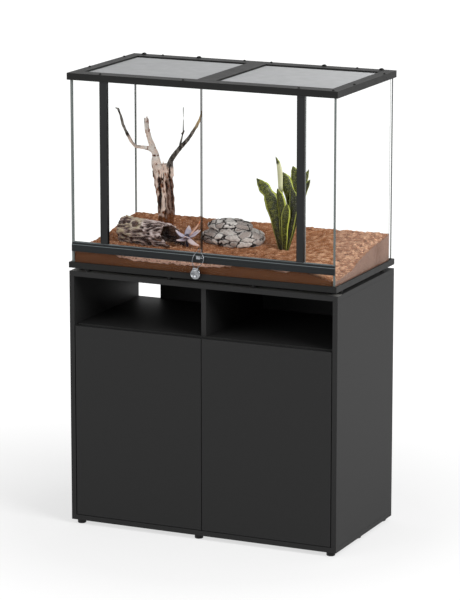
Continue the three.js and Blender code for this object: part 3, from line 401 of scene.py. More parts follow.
def banded(finish, axis, levels, width, colour, only_upward=False):
    # Gives a finish bands of another colour at set levels along one axis of the piece.
    tree = finish.node_tree
    base = tree.nodes["Principled BSDF"].inputs["Base Color"]
    plain = base.links[0].from_socket
    place = tree.nodes.new("ShaderNodeTexCoord").outputs
    along = parts_of(tree, place["Object"])[axis]
    for level in levels:
        share = maths(tree, "COMPARE", along, level, width / 2)
        if only_upward:
            upward = parts_of(tree, place["Normal"])["Z"]
            share = maths(tree, "MULTIPLY", upward, share, clamped=True)
        plain = mixed_colour(tree, share, plain, colour)
    tree.links.new(plain, base)


def ends_of(node, axis):
    levels = [vert.co[axis] for vert in frame["nodes"][node].data.vertices]
    return min(levels), max(levels)


frame_black = moulded("frame_black", rgb(30, 30, 30), rgb(35, 35, 34), 0.46, specular=0.12)
for rim in ("base_frame", "top_frame", "top_crossbar", "lid_frame_left", "lid_frame_right"):
    dress(rim, frame_black)
# The rail's top edge and its one groove carry painted highlight lines, and the cabinet's top
# carries a painted pale band of light in the gap under the tank. The hinge profiles' rounded edges
# are painted darker than their faces, as shade.
rail_black = extruded("rail_black", rgb(16, 20, 22), rgb(24, 28, 30), 0.36, 0)
rail_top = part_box("front_rail")[1].z
# Painted highlights: two pale lines along the rail, at its top edge and at its groove.
banded(rail_black, "Z", (rail_top - 0.0004, rail_top - 0.009), 0.0016, rgb(112, 120, 122))
dress("front_rail", rail_black)
profile_black = extruded("profile_black", rgb(28, 29, 29), rgb(34, 35, 36), 0.4, 2)
for side in ("left", "right"):
    dress(f"hinge_profile_{side}", profile_black)
    # Painted shade: dark bands along each profile's rounded edges.
    banded(profile_black, "X", ends_of(f"hinge_profile_{side}", 0), 0.0034, rgb(8, 8, 8))
frame_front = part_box("base_frame")[0].y
# Painted light: a pale band on the cabinet's top in the gap under the tank, where light reaching in
# is painted on.
banded(painted_gap_light_board, "Y", (frame_front + 0.027,), 0.036, rgb(122, 121, 118), only_upward=True)


# ---------------------------------------------------------------- the panes and their seams
# Clear float glass, 6 mm for the tank and 5 mm for the doors, with ground grey-green edges. The
# tank's panes are bonded to each other, and a bead of clear silicone shows in each back corner.
def pane_glass(name, across, edge_colour, ground_to=None, reach=0.0012, bonded_from=1.0):
    # Clear on its two faces and ground on its edges, but not where it is bonded at the back.
    finish, tree = bare_material(name)
    clear = new_node(tree, "ShaderNodeBsdfTransparent", (0.994, 0.997, 0.995, 1)).outputs[0]
    sheen = new_node(tree, "ShaderNodeBsdfGlossy", (1, 1, 1, 1), 0.02)
    slant = new_node(tree, "ShaderNodeLayerWeight", 0.12)
    side = tree.nodes.new("ShaderNodeNewGeometry")
    outside = maths(tree, "SUBTRACT", 1, side.outputs["Backfacing"])
    shine = maths(tree, "MULTIPLY", slant.outputs["Fresnel"], outside)
    face = new_node(tree, "ShaderNodeMixShader", shine, clear, sheen.outputs[0])
    ground = fed(tree, tree.nodes.new("ShaderNodeBsdfPrincipled"), {
        "Base Color": edge_colour, "Roughness": 0.25, "Specular IOR Level": 0.2,
    })
    through = new_node(tree, "ShaderNodeMixShader", 0.96, clear, ground.outputs[0])
    place = tree.nodes.new("ShaderNodeTexCoord").outputs
    facing = maths(tree, "ABSOLUTE", parts_of(tree, place["Normal"])[across])
    where = parts_of(tree, place["Object"])
    edge = maths(tree, "LESS_THAN", facing, 0.5)
    open_edge = maths(tree, "LESS_THAN", where["Y"], bonded_from)
    masked = maths(tree, "MULTIPLY", edge, open_edge)
    if ground_to is not None:
        # The arris beside the edges at this distance from the middle.
        outward = maths(tree, "ABSOLUTE", where["X"])
        arris = maths(tree, "COMPARE", outward, ground_to, reach)
        masked = maths(tree, "MAXIMUM", masked, arris)
    both = new_node(tree, "ShaderNodeMixShader", masked, face.outputs[0], through.outputs[0])
    new_node(tree, "ShaderNodeOutputMaterial", both.outputs[0])
    return finish


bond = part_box("back_glass")[0].y - 0.001
side_glass = pane_glass("side_glass", 0, rgb(108, 115, 113), bonded_from=bond)
front_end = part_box("front_glass_right")[1].x
front_glass = pane_glass("front_glass", 1, rgb(108, 115, 113), front_end, 0.0022)
dress("floor_glass", pane_glass("floor_glass", 2, rgb(84, 92, 90)))
back_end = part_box("back_glass")[1].x
dress("back_glass", pane_glass("back_glass", 1, rgb(52, 58, 56), back_end, 0.0022))
for side in ("left", "right"):
    dress(f"side_glass_{side}", side_glass)
for pane in ("front_glass_low", "front_glass_left", "front_glass_right"):
    dress(pane, front_glass)
for side, meeting in (("left", 1), ("right", 0)):
    pane = f"glass_door_{side}"
    edge_at = abs(ends_of(pane, 0)[meeting])
    dress(pane, pane_glass(f"door_glass_{side}", 1, rgb(14, 17, 17), edge_at))


silicone, tree, shader = new_finish("grey_silicone", 0.35, specular=0.4)
cloud = speckle(tree, 60, detail=3)
two_tone(tree, shader, cloud, rgb(176, 180, 178), rgb(194, 198, 196), 0.3, 0.7)
raised(tree, shader, speckle(tree, 180, detail=2), 0.0002, 0.5)


# A bead with a hollow face, run down each back corner from the top frame to the soil.
size, clear = 0.002, 0.0002
outline = ((clear, clear), (size, clear), (size * 0.45, size * 0.45), (clear, size))
glass_low, glass_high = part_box("back_glass")
low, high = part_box("soil")[1].z + 0.003, glass_high.z - 0.012
for side, inner, away in (("left", 1, 1), ("right", 0, -1)):
    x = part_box(f"side_glass_{side}")[inner].x
    bm = bmesh.new()
    ring = [bm.verts.new((x + away * a, glass_low.y - b, low)) for a, b in outline]
    grown = bmesh.ops.extrude_face_region(bm, geom=[bm.faces.new(ring)])
    lifted = [part for part in grown["geom"] if isinstance(part, bmesh.types.BMVert)]
    bmesh.ops.translate(bm, vec=(0, 0, high - low), verts=lifted)
    bmesh.ops.recalc_face_normals(bm, faces=bm.faces)
    name = f"seam_back_{side}"
    place_piece(name, mesh_from(bm, name), "cabinet_and_tank", silicone)


# ---------------------------------------------------------------- the lids' mesh
# Fine steel wire, just under a millimetre thick and 2 mm apart, laid both ways and held in the
# rebate under each lid frame. Each lid is its own frame with its own mesh.
mesh_steel, tree, shader = new_finish("mesh_steel", 0.42, metallic=0.35)
cloud = speckle(tree, 30, detail=4)
two_tone(tree, shader, cloud, rgb(168, 169, 170), rgb(176, 177, 178), 0.3, 0.7)
raised(tree, shader, speckle(tree, 700, detail=2), 0.00003, 0.3)


def lid_mesh(side):
    low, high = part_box(f"lid_mesh_{side}")
    pitch, wire, margin = 0.002, 0.0009, 0.004
    bm = bmesh.new()
    middle = (low + high) / 2
    span = high - low
    for along in (0, 1):
        across = 1 - along
        count = int((span[across] - margin) / pitch)
        turn = Matrix.Rotation(math.pi / 2, 3, "Y" if along == 0 else "X")
        for number in range(count + 1):
            strand = bmesh.ops.create_cone(
                bm, cap_ends=False, segments=4, radius1=wire / 2, radius2=wire / 2,
                depth=span[along],
            )["verts"]
            bmesh.ops.rotate(bm, cent=(0, 0, 0), matrix=turn, verts=strand)
            centre = middle.copy()
            centre[across] += (number - count / 2) * pitch
            centre.z = high.z - wire / 2 - (0 if along == 0 else wire * 0.25)
            bmesh.ops.translate(bm, vec=centre, verts=strand)
    name = f"lid_wires_{side}"
    piece = place_piece(name, mesh_from(bm, name), f"lid_{side}", mesh_steel)
    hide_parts(f"lid_mesh_{side}")


for side in ("left", "right"):
    lid_mesh(side)


# ---------------------------------------------------------------- the wire lock
# A small padlock with a round chromed body and a long stiff wire. The wire goes through a hole in
# the left glass door and back through the gap between the doors, in front of a bright keeper.
lock_chrome, tree, shader = new_finish("lock_chrome", 0.14, metallic=1.0)
cloud = speckle(tree, 120, detail=5)
two_tone(tree, shader, cloud, rgb(98, 100, 103), rgb(160, 162, 165), 0.3, 0.7)
uneven_gloss(tree, shader, cloud, 0.08, 0.24)
raised(tree, shader, speckle(tree, 900, detail=2), 0.00002, 0.3)
dress("lock_catch", lock_chrome)


def block(bm, size, place):
    verts = bmesh.ops.create_cube(bm, size=1)["verts"]
    bmesh.ops.scale(bm, vec=size, verts=verts)
    bmesh.ops.translate(bm, vec=place, verts=verts)
    return verts


low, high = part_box("lock_body")
radius = (high.x - low.x) / 2
depth = high.y - low.y
centre = Vector(((low.x + high.x) / 2, (low.y + high.y) / 2, low.z + radius))
bm = bmesh.new()
# The drum's half outline, from the middle of its front to the middle of its back.
outline = (
    (0.0, -0.40), (0.36, -0.40), (0.40, -0.44), (0.62, -0.44), (0.66, -0.5), (0.80, -0.5),
    (0.92, -0.40), (0.99, -0.22), (1.0, 0.0), (0.99, 0.22), (0.92, 0.40), (0.80, 0.5),
    (0.0, 0.5),
)
line = [bm.verts.new((radius * a, depth * b, 0)) for a, b in outline]
edges = [bm.edges.new(pair) for pair in zip(line, line[1:])]
bmesh.ops.spin(
    bm, geom=line + edges, cent=(0, 0, 0), axis=(0, 1, 0), angle=2 * math.pi, steps=48,
    use_merge=True,
)
bmesh.ops.remove_doubles(bm, verts=bm.verts, dist=0.00001)
bmesh.ops.recalc_face_normals(bm, faces=bm.faces)
bmesh.ops.translate(bm, vec=centre, verts=bm.verts)
# The neck that the wire's ends go into, and the key's slot, a narrow block let into the front.
foot = centre.z + radius * 0.8
neck = block(
    bm, (radius * 1.1, depth * 0.56, high.z - foot), (centre.x, centre.y, (high.z + foot) / 2)
)
edges = [edge for edge in bm.edges if edge.verts[0] in neck]
bmesh.ops.bevel(
    bm, geom=edges, offset=0.0012, segments=3, profile=0.5, affect="EDGES", material=-1
)
key_place = (centre.x, centre.y - depth * 0.41, centre.z)
block(bm, (radius * 0.10, depth * 0.03, radius * 0.42), key_place)
mesh = mesh_from(bm, "lock_drum")
piece = place_piece("lock_drum", mesh, "padlock", lock_chrome, smooth=True)
piece.data.set_sharp_from_angle(angle=math.radians(40))
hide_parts("lock_body")


def evaluated_mesh(holder, name):
    # The mesh that an object's curve or modifiers make; the object itself goes.
    graph = bpy.context.evaluated_depsgraph_get()
    mesh = bpy.data.meshes.new_from_object(holder.evaluated_get(graph))
    bpy.data.objects.remove(holder)
    mesh.name = name
    mesh.materials.clear()
    return mesh


# Up from the lock, in through the door's hole and back out through the gap between the doors.
low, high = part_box("glass_door_left")
drum_low, drum_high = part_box("lock_body")
hole = Vector((-0.009, low.y, 1.0205))
mid = (drum_low.x + drum_high.x) / 2
drum = (drum_low.y + drum_high.y) / 2
end = drum_high.z + 0.0003
legs = 0.007
behind = high.y + 0.0028
route = (
    (mid - legs, drum, end - 0.004), (mid - legs - 0.001, drum, end + 0.005),
    (mid - 0.0125, drum + 0.001, end + 0.014), (mid - 0.0145, drum + 0.003, end + 0.027),
    (mid - 0.0085, drum + 0.006, end + 0.043), (hole.x - 0.0015, low.y - 0.006, hole.z - 0.0065),
    (hole.x, low.y, hole.z), (hole.x + 0.001, behind, hole.z + 0.0005),
    (-0.0035, behind + 0.001, hole.z + 0.0005), (0, high.y, hole.z),
    (0, low.y - 0.002, hole.z - 0.002), (0.0012, low.y - 0.0065, hole.z - 0.0085),
    (mid + 0.024, drum + 0.007, end + 0.044), (mid + 0.0295, drum + 0.003, end + 0.028),
    (mid + 0.021, drum + 0.001, end + 0.0125), (mid + legs + 0.002, drum, end + 0.004),
    (mid + legs, drum, end - 0.004),
)
line = bpy.data.curves.new("lock_wire_line", "CURVE")
line.dimensions = "3D"
line.bevel_depth = 0.001
line.bevel_resolution = 3
line.resolution_u = 8
line.use_fill_caps = True
path = line.splines.new("NURBS")
path.points.add(len(route) - 1)
for point, place in zip(path.points, route):
    point.co = (*place, 1)
path.order_u = 3
path.use_endpoint_u = True
holder = bpy.data.objects.new("lock_wire_line", line)
bpy.context.scene.collection.objects.link(holder)
mesh = evaluated_mesh(holder, "lock_wire_round")
piece = place_piece("lock_wire_round", mesh, "padlock", lock_chrome, smooth=True)
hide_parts("lock_shackle")


# ---------------------------------------------------------------- the soil bed
# Dry red-brown soil, raked up toward the back and pressed flat against the panes, with a dip in
# front. Its face is lumpy, with loose crumbs on it, and is paler where the light falls on it.
def tinted_finish(name, roughness, grain_scale, grain_height, specular=0.2, vary=0.25):
    # Takes the piece's own tint and breaks it up with a fine grain.
    finish, tree, shader = new_finish(name, roughness, specular=specular)
    tint = tree.nodes.new("ShaderNodeAttribute")
    tint.attribute_name = "surface_tint"
    grain = speckle(tree, grain_scale, detail=6)
    low, high = 1 - vary, 1 + vary
    tone = shades(tree, grain, (0.32, (low, low, low, 1)), (0.68, (high, high, high, 1)))
    product = mixed_colour(tree, 1, tint.outputs["Color"], tone, "MULTIPLY")
    fed(tree, shader, {"Base Color": product})
    raised(tree, shader, grain, grain_height, 0.9)
    uneven_gloss(tree, shader, grain, roughness - 0.1, min(roughness + 0.08, 1))
    return finish


def held(value):
    return min(max(value, 0), 1)


def between(first, second, share):
    share = held(share)
    return tuple(a + (b - a) * share for a, b in zip(first, second))


def noise_at(x, y, z):
    return noise.noise(Vector((x, y, z)))


def noise_on(point, x_scale, y_scale, z_scale, shift=0):
    return noise_at(point.x * x_scale, point.y * y_scale, point.z * z_scale + shift)


soil_dark = rgb(98, 58, 36)
soil_brown = rgb(152, 99, 66)
soil_pale = rgb(218, 172, 138)
soil_cut_front = rgb(104, 66, 42)
# Painted light: the right-hand cut face is paler than the front one, as if lit by the key light.
soil_cut_side_painted_lit = rgb(140, 108, 92)
# The colour of a painted bright strip of light along the front dip.
soil_painted_light_strip = rgb(255, 206, 184)
soil_low, soil_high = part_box("soil")
soil_finish = tinted_finish("red_brown_soil", 0.95, 520, 0.0016, specular=0.12, vary=0.4)
tank_middle_y = 0.00665


def shaped_by(*stations):
    # A smooth line through values set at rising places.
    def value(place):
        place = min(max(place, stations[0][0]), stations[-1][0])
        for (low, first), (high, last) in zip(stations, stations[1:]):
            if place <= high:
                t = (place - low) / (high - low)
                return first + (last - first) * t * t * (3 - 2 * t)
    return value


# How far the bed lies below the rail's lower edge along the front pane.
front_drop = shaped_by(
    (-0.345, -0.004), (-0.305, 0.010), (-0.25, 0.0165), (-0.12, 0.0155), (0.0, 0.0145),
    (0.06, 0.010), (0.10, 0.006), (0.13, -0.002), (0.24, -0.002), (0.27, 0.0065), (0.31, 0.0065),
    (0.34, -0.003),
)
rail_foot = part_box("front_rail")[0].z
# How far the bed is scooped down beside the right pane, from front to back.
right_scoop = shaped_by((0.0, 0.027), (0.14, 0.021), (0.23, 0.006), (0.35, -0.005), (0.48, 0.0))
by_right_pane = shaped_by((0.34, 0.0), (0.484, 1.0))


def raked_height(x, y):
    # The bed's slope with its dip in front, then its lumps and grains, in metres.
    back = held((y - soil_low.y) / (soil_high.y - soil_low.y))
    slope = 0.042 + 0.0505 * back ** 1.6
    dip = 0.022 * math.exp(-(((x + 0.015) / 0.130) ** 2)) * (1 - back) ** 3
    ripple = 0.002 * math.sin(x / 0.061) * math.cos((y - tank_middle_y) / 0.047)
    raked = soil_low.z + slope - dip + ripple
    near = max(1 - (y - soil_low.y) / 0.1, 0) ** 1.5
    raked += (rail_foot - front_drop(x) - 0.002 - raked) * near
    return raked - right_scoop(y - soil_low.y) * by_right_pane(x)


def grain_height(x, y):
    lumps = noise_at(x * 42, y * 42, 4.1)
    grains = noise_at(x * 105, y * 105, 7.7)
    return 0.0020 + lumps * 0.0032 + grains * 0.0034


def light_share(x):
    # How far the light from the right reaches, from the middle to the right end.
    return held((x - 0.08) / 0.3)


def soil_colour(point, normal):
    fine = noise_on(point, 105, 105, 105)
    broad = noise_on(point, 15, 15, 15, 5.5)
    if normal.z < 0.3:
        # The right-hand cut face is painted paler than the front one, as lit from the right; both
        # vary at random.
        cut = soil_cut_front if abs(normal.y) > 0.5 else soil_cut_side_painted_lit
        return between(cut, soil_dark, 0.2 + 0.6 * broad + 0.5 * fine)
    grown = grain_height(point.x, point.y)
    # Painted light: the top is painted paler toward the right, where the key light falls, and it is
    # also paler on the higher grains.
    lit = 0.36 * light_share(point.x)
    risen = (grown - 0.0026) / 0.004
    colour = between(soil_brown, soil_pale, lit + 0.2 * broad + 0.5 * fine + risen)
    # Painted shade: darker in the hollows between the lumps.
    colour = between(colour, soil_dark, (0.0010 - grown) / 0.0026)
    from_glass = point.y - soil_low.y
    if from_glass < 0.07:
        # Painted shadow of the rail: the top is darker near the front pane.
        colour = between(soil_dark, colour, 0.25 + from_glass / 0.06)
        dipped = front_drop(point.x) / 0.003
        strip = (0.046 + 0.012 * broad - from_glass) / 0.006
        # Painted light: a bright strip along the front dip, where light through the low pane falls.
        colour = between(colour, soil_painted_light_strip, min(dipped, strip, 1.15 + fine))
    return colour


bm = bmesh.new()
bmesh.ops.create_grid(bm, x_segments=230, y_segments=116, size=0.5)
width, depth = soil_high.x - soil_low.x, soil_high.y - soil_low.y
middle = (soil_low + soil_high) / 2
bmesh.ops.scale(bm, vec=(width, depth, 1), verts=bm.verts)
bmesh.ops.translate(bm, vec=(middle.x, middle.y, soil_low.z), verts=bm.verts)
grown = bmesh.ops.extrude_face_region(bm, geom=list(bm.faces))
top = [part for part in grown["geom"] if isinstance(part, bmesh.types.BMVert)]
for vert in top:
    vert.co.z = raked_height(vert.co.x, vert.co.y) + grain_height(vert.co.x, vert.co.y)
foot = soil_low.z + 0.001
under = [face for face in bm.faces if all(v.co.z < foot for v in face.verts)]
bmesh.ops.dissolve_faces(bm, faces=under)
uprights = [
    edge for edge in bm.edges
    if abs(edge.verts[0].co.z - edge.verts[1].co.z) > 0.02
]
bmesh.ops.subdivide_edges(bm, edges=uprights, cuts=7, use_grid_fill=True)
bmesh.ops.recalc_face_normals(bm, faces=bm.faces)
mesh = mesh_from(bm, "soil_raked")
layer = mesh.attributes.new("surface_tint", "FLOAT_COLOR", "CORNER")
for face in mesh.polygons:
    for corner in face.loop_indices:
        point = mesh.vertices[mesh.loops[corner].vertex_index].co
        layer.data[corner].color = soil_colour(point, face.normal)
piece = place_piece("soil_raked", mesh, "cabinet_and_tank", soil_finish, smooth=True)
piece.data.set_sharp_from_angle(angle=math.radians(55))
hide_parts("soil")
noise.seed_set(3)  # without it, noise_vector differs from run to run


# Loose crumbs lie all over the bed, thickest at the right and toward the back. Each fraction
# below spreads its numbers evenly, so that the crumbs lie the same in every run.
margin = 0.008
bm = bmesh.new()
tint = bm.verts.layers.float_color.new("surface_tint")
squash = Matrix.Diagonal((1, 0.8, 0.7))
for number in range(1500):
    share_x = (number * 0.6180339887) % 1
    share_y = (number * 0.7548776662 + 0.13) % 1
    x = soil_low.x + margin + (soil_high.x - soil_low.x - 2 * margin) * share_x ** 0.8
    y = soil_low.y + margin + (soil_high.y - soil_low.y - 2 * margin) * share_y ** 0.85
    size = 0.0016 + 0.0040 * ((number * 0.3819) % 1) ** 2
    crumb = bmesh.ops.create_icosphere(bm, subdivisions=1, radius=size)["verts"]
    spin = Matrix.Rotation(number * 2.4, 3, "Z")
    shift = Matrix.Translation((x, y, raked_height(x, y) + grain_height(x, y) + size * 0.2))
    bmesh.ops.transform(bm, matrix=shift @ (spin @ squash).to_4x4(), verts=crumb)
    # Painted light: crumbs are paler toward the right, where the key light falls, and otherwise
    # paler at random.
    paler = 0.4 * light_share(x) + ((number * 0.5497) % 1) * 0.9
    colour = between(soil_brown, soil_pale, paler)
    for vert in crumb:
        vert[tint] = colour
        vert.co += noise.noise_vector(vert.co * 330) * size * 0.45
mesh = mesh_from(bm, "soil_crumbs")
place_piece("soil_crumbs", mesh, "cabinet_and_tank", soil_finish)


# ---------------------------------------------------------------- the driftwood
# A weathered root stood upright in the soil. The trunk is split along its twisted grain: pale
# bleached strands over brown wood, dark in the cracks. The limbs are grey, the short one is white.
def fine_copy(node, voxel, name):
    # A closed copy of the node's solid with an even fine skin, ready for its surface to be worked.
    rough = bpy.data.objects.new(name + "_rough", mesh_from(welded_copy(node), name))
    bpy.context.scene.collection.objects.link(rough)
    skin = rough.modifiers.new("even_skin", "REMESH")
    skin.mode = "VOXEL"
    skin.voxel_size = voxel
    soften = rough.modifiers.new("soften", "SMOOTH")
    soften.iterations = 3
    return evaluated_mesh(rough, name)


def worked(node, voxel, name, relief, colour, finish):
    # Moves each point of a fine copy along its normal by relief(point, normal), and keeps
    # colour(point, relief) on it. The piece stands in for the node.
    mesh = fine_copy(node, voxel, name)
    heights = [relief(vert.co, vert.normal) for vert in mesh.vertices]
    tints = [colour(vert.co.copy(), height) for vert, height in zip(mesh.vertices, heights)]
    normals = [vert.normal.copy() for vert in mesh.vertices]
    for vert, normal, height in zip(mesh.vertices, normals, heights):
        vert.co += normal * height
    layer = mesh.attributes.new("surface_tint", "FLOAT_COLOR", "POINT")
    for item, tint in zip(layer.data, tints):
        item.color = tint
    mesh.update()
    piece = place_piece(name, mesh, "cabinet_and_tank", finish, smooth=True)
    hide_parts(node)


wood_pale = rgb(246, 222, 208)
wood_bleached = rgb(244, 234, 226)
wood_brown = rgb(150, 98, 70)
wood_foot = rgb(112, 66, 36)
wood_right = rgb(92, 56, 38)
wood_crack = rgb(46, 28, 22)
wood_grey = rgb(150, 142, 134)
wood_dark = rgb(62, 56, 52)
wood_tan = rgb(206, 178, 136)
trunk_axis = Vector((-0.290, 0.0768, 0))
trunk_top = 1.222


def strands(point, fine, along):
    # Long streaks that turn slowly about the trunk.
    turn = (point.z - 1.1) * 2.4
    x, y = point.x - trunk_axis.x, point.y - trunk_axis.y
    across = x * math.cos(turn) - y * math.sin(turn)
    through = x * math.sin(turn) + y * math.cos(turn)
    bend = 0.007 * noise_at(across * 40, through * 40, point.z * 34)
    return noise_at((across + bend) * fine, through * fine, point.z * along)


def on_trunk(point):
    # 1 on the trunk, fading to 0 where the limbs begin.
    lean = -0.016 * held((point.z - 1.08) / 0.14)
    apart = math.hypot(point.x - trunk_axis.x - lean, point.y - trunk_axis.y)
    level = held((trunk_top + 0.012 - point.z) / 0.012)
    return level if apart < 0.05 or point.z < 1.17 else 0


def wood_relief(point, normal):
    split = strands(point, 105, 11)
    chips = strands(point, 230, 60)
    trunk = on_trunk(point)
    ragged = 0.006 * noise_at(point.x * 150, point.y * 150, 3) if normal.z > 0.5 else 0
    limb = noise_on(point, 120, 120, 45) * 0.0014
    return trunk * (-0.0014 + split * 0.0064 + chips * 0.0026 + ragged) + (1 - trunk) * limb


def trunk_colour(point):
    split = strands(point, 105, 11)
    patch = noise_on(point, 85, 85, 62, 3)
    fleck = strands(point, 260, 70)
    pale = (split + 0.10 + patch * 0.6 + fleck * 0.45) / 0.16
    colour = between(wood_brown, wood_pale, pale)
    seen_right = (point.x - trunk_axis.x) * 0.91 + (point.y - trunk_axis.y) * 0.415 + 0.006
    shaded = min((seen_right - 0.009) / 0.008, (1.200 - point.z) / 0.02)
    colour = between(colour, wood_right, min(max(shaded, 0), 0.85) + fleck * 0.3)
    colour = between(colour, wood_crack, (-0.14 - split - patch * 0.35) / 0.08)
    return between(wood_foot, colour, (point.z - 1.052 + patch * 0.03) / 0.02)


def limb_colour(point):
    # From right to left: the long grey limb with its tan tip, the short white one, the left one.
    patch = noise_on(point, 60, 60, 40, 3)
    streak = noise_on(point, 140, 140, 40, 9)
    if point.x > -0.275:
        colour = between(wood_dark, wood_grey, 0.35 + patch * 0.9 + streak)
        if point.x > -0.19:
            return between(colour, wood_tan, (point.z - 1.365) / 0.03)
        return colour
    if point.x > -0.372:
        colour = between(wood_bleached, wood_pale, 0.4 + patch)
        colour = between(colour, wood_brown, (streak - 0.30) / 0.1)
        slit = (point.x + 0.326 + streak * 0.01) ** 2 / 0.00008 + (point.z - 1.266) ** 2 / 0.000008
        return wood_right if slit < 1 else colour
    colour = between(wood_grey, wood_dark, 0.5 + streak * 1.4)
    return between(colour, wood_pale, (1.34 - point.z) / 0.03 * 0.7 - patch)


def wood_colour(point, height):
    return between(limb_colour(point), trunk_colour(point), on_trunk(point))


wood_finish = tinted_finish("weathered_wood", 0.82, 420, 0.0012, specular=0.15, vary=0.22)
worked(
    "driftwood", 0.0024, "driftwood_weathered", wood_relief, wood_colour, wood_finish
)


# Pale strips split off round the trunk's broken top, a spur on the white limb and a knot.
whole = bmesh.new()
one = bpy.data.meshes.new("driftwood_splinter")
for start, end, radius, colour in (
    ((-0.316, 0.060, 1.190), (-0.321, 0.060, 1.246), 0.0046, wood_pale),
    ((-0.303, 0.052, 1.180), (-0.301, 0.053, 1.240), 0.0052, wood_bleached),
    ((-0.289, 0.052, 1.178), (-0.283, 0.054, 1.250), 0.0050, wood_pale),
    ((-0.276, 0.060, 1.176), (-0.272, 0.062, 1.228), 0.0044, wood_brown),
    ((-0.328, 0.070, 1.190), (-0.331, 0.068, 1.214), 0.0044, wood_right),
    ((-0.360, 0.088, 1.340), (-0.349, 0.086, 1.355), 0.0042, wood_brown),
    ((-0.367, 0.096, 1.378), (-0.378, 0.096, 1.393), 0.0050, wood_bleached),
    ((-0.369, 0.096, 1.380), (-0.366, 0.097, 1.398), 0.0044, wood_pale),
    ((-0.219, 0.0717, 1.348), (-0.210, 0.0717, 1.362), 0.0046, wood_dark),
):
    first, last = Vector(start), Vector(end)
    strip = bmesh.new()
    tint = strip.verts.layers.float_color.new("surface_tint")
    bmesh.ops.create_cone(
        strip, cap_ends=True, segments=9, radius1=radius, radius2=radius * 0.2,
        depth=(last - first).length,
    )
    lengthwise = [
        edge for edge in strip.edges
        if abs(edge.verts[0].co.z - edge.verts[1].co.z) > 0.001
    ]
    bmesh.ops.subdivide_edges(strip, edges=lengthwise, cuts=6, use_grid_fill=True)
    turn = (last - first).to_track_quat("Z", "Y").to_matrix().to_4x4()
    middle = Matrix.Translation((first + last) / 2)
    bmesh.ops.transform(strip, matrix=middle @ turn, verts=strip.verts)
    for vert in strip.verts:
        vert.co += noise.noise_vector(vert.co * 120) * radius * 0.5
        vert[tint] = between(colour, wood_brown, 0.5 * noise.noise(vert.co * 160))
    strip.to_mesh(one)
    strip.free()
    whole.from_mesh(one)
name = "driftwood_splinters"
mesh = mesh_from(whole, name)
place_piece(name, mesh, "cabinet_and_tank", wood_finish, smooth=True)


# ---------------------------------------------------------------- the log hide
# A hollow length of bark broken from a log. Its skin is ridged along its length, pale on the
# ridges and dark in the furrows, greener at the left, with the rim of a lost branch on top.
bark_pale = rgb(224, 208, 206)
bark_green = rgb(206, 192, 160)
bark_mid = rgb(150, 130, 124)
bark_dark = rgb(56, 42, 40)
bark_hollow = rgb(104, 76, 62)
knot_place = Vector((-0.322, -0.078, 1.050))
log_left, log_right = Vector((-0.392, -0.0419, 1.02)), Vector((-0.150, -0.0686, 1.008))
wall_left, wall_right = 0.0462, 0.0372


def bark_relief(point, normal):
    along = point.x - 0.16 * point.y
    flow = noise_at(along * 9, point.y * 9, point.z * 9) * 0.9
    ridges = noise_at(along * 22 + flow, point.y * 95 + flow * 3, point.z * 95)
    knots = noise_on(point, 60, 60, 60, 5)
    swirl = noise_at(point.x * 48 + flow, point.y * 130, point.z * 130 + 2)
    height = 0.0026 - abs(ridges) * 0.012 - abs(swirl) * 0.006 + knots * 0.003
    apart = (point - knot_place).length + 0.012 * knots + 0.006 * swirl
    if apart < 0.034:
        ring = math.exp(-(((apart - 0.018) / 0.006) ** 2)) * 0.0035
        well = -0.010 * max(0, 1 - apart / 0.015)
        height = height * (0.4 + 0.6 * min(1, apart / 0.034)) + ring + well
    return height


def bark_colour(point, height):
    patch = noise_on(point, 30, 30, 30, 8)
    pale = between(bark_pale, bark_green, (-0.29 - point.x) / 0.06 + patch * 0.6)
    colour = between(bark_mid, pale, (height + 0.0005) / 0.0022 + patch * 0.5)
    colour = between(colour, bark_dark, (-0.001 - height) / 0.002)
    apart = (point - knot_place).length + 0.014 * patch
    if apart < 0.012:
        colour = between(bark_dark, bark_mid, apart / 0.03)
    elif apart < 0.024:
        colour = between(colour, bark_green, 0.2 + patch)
    # Inside the log's wall the bark gives way to the dark hollow.
    line = (log_right - log_left).normalized()
    off = point - log_left
    out = (off - line * off.dot(line)).length
    share = off.dot(line) / (log_right - log_left).length
    wall = wall_left + (wall_right - wall_left) * share
    hollow = between(bark_hollow, bark_dark, 0.35 - patch * 1.6)
    return between(hollow, colour, (out - wall + 0.004) / 0.004)


bark_finish = tinted_finish("ridged_bark", 0.9, 300, 0.0016)
worked("log_hide", 0.0022, "log_bark", bark_relief, bark_colour, bark_finish)


# ---------------------------------------------------------------- the basking stones
# Two flat boulders, one on the other, of grey-brown rock that has weathered into plates: the
# plates have painted highlights along their rims and dark cracks between them.
stone_plate = rgb(232, 226, 221)
stone_dark_plate = rgb(166, 154, 148)
# The colour of the painted highlight along the plates' rims.
stone_rim_highlight = rgb(236, 232, 228)
stone_crack = rgb(40, 32, 30)
plates_per_metre = 22


def plate_edges(point):
    # How far a point is from the nearest crack, and which plate it is on.
    bent = point + 0.011 * Vector(noise.noise_vector(point * 24))
    bent += 0.004 * Vector(noise.noise_vector(point * 85))
    scaled = Vector((bent.x * 1.0, bent.y * 1.1, bent.z * 2.3)) * plates_per_metre
    distances, places = noise.voronoi(scaled)
    return (distances[1] - distances[0]) / plates_per_metre, noise.cell(places[0] * 3.1)


def stone_relief(point, normal):
    gap, plate = plate_edges(point)
    grain = noise.noise(point * 70) * 0.0012
    groove = -0.0044 * math.exp(-((gap / 0.0030) ** 2))
    return groove + grain + 0.0012 * min(gap / 0.01, 1)


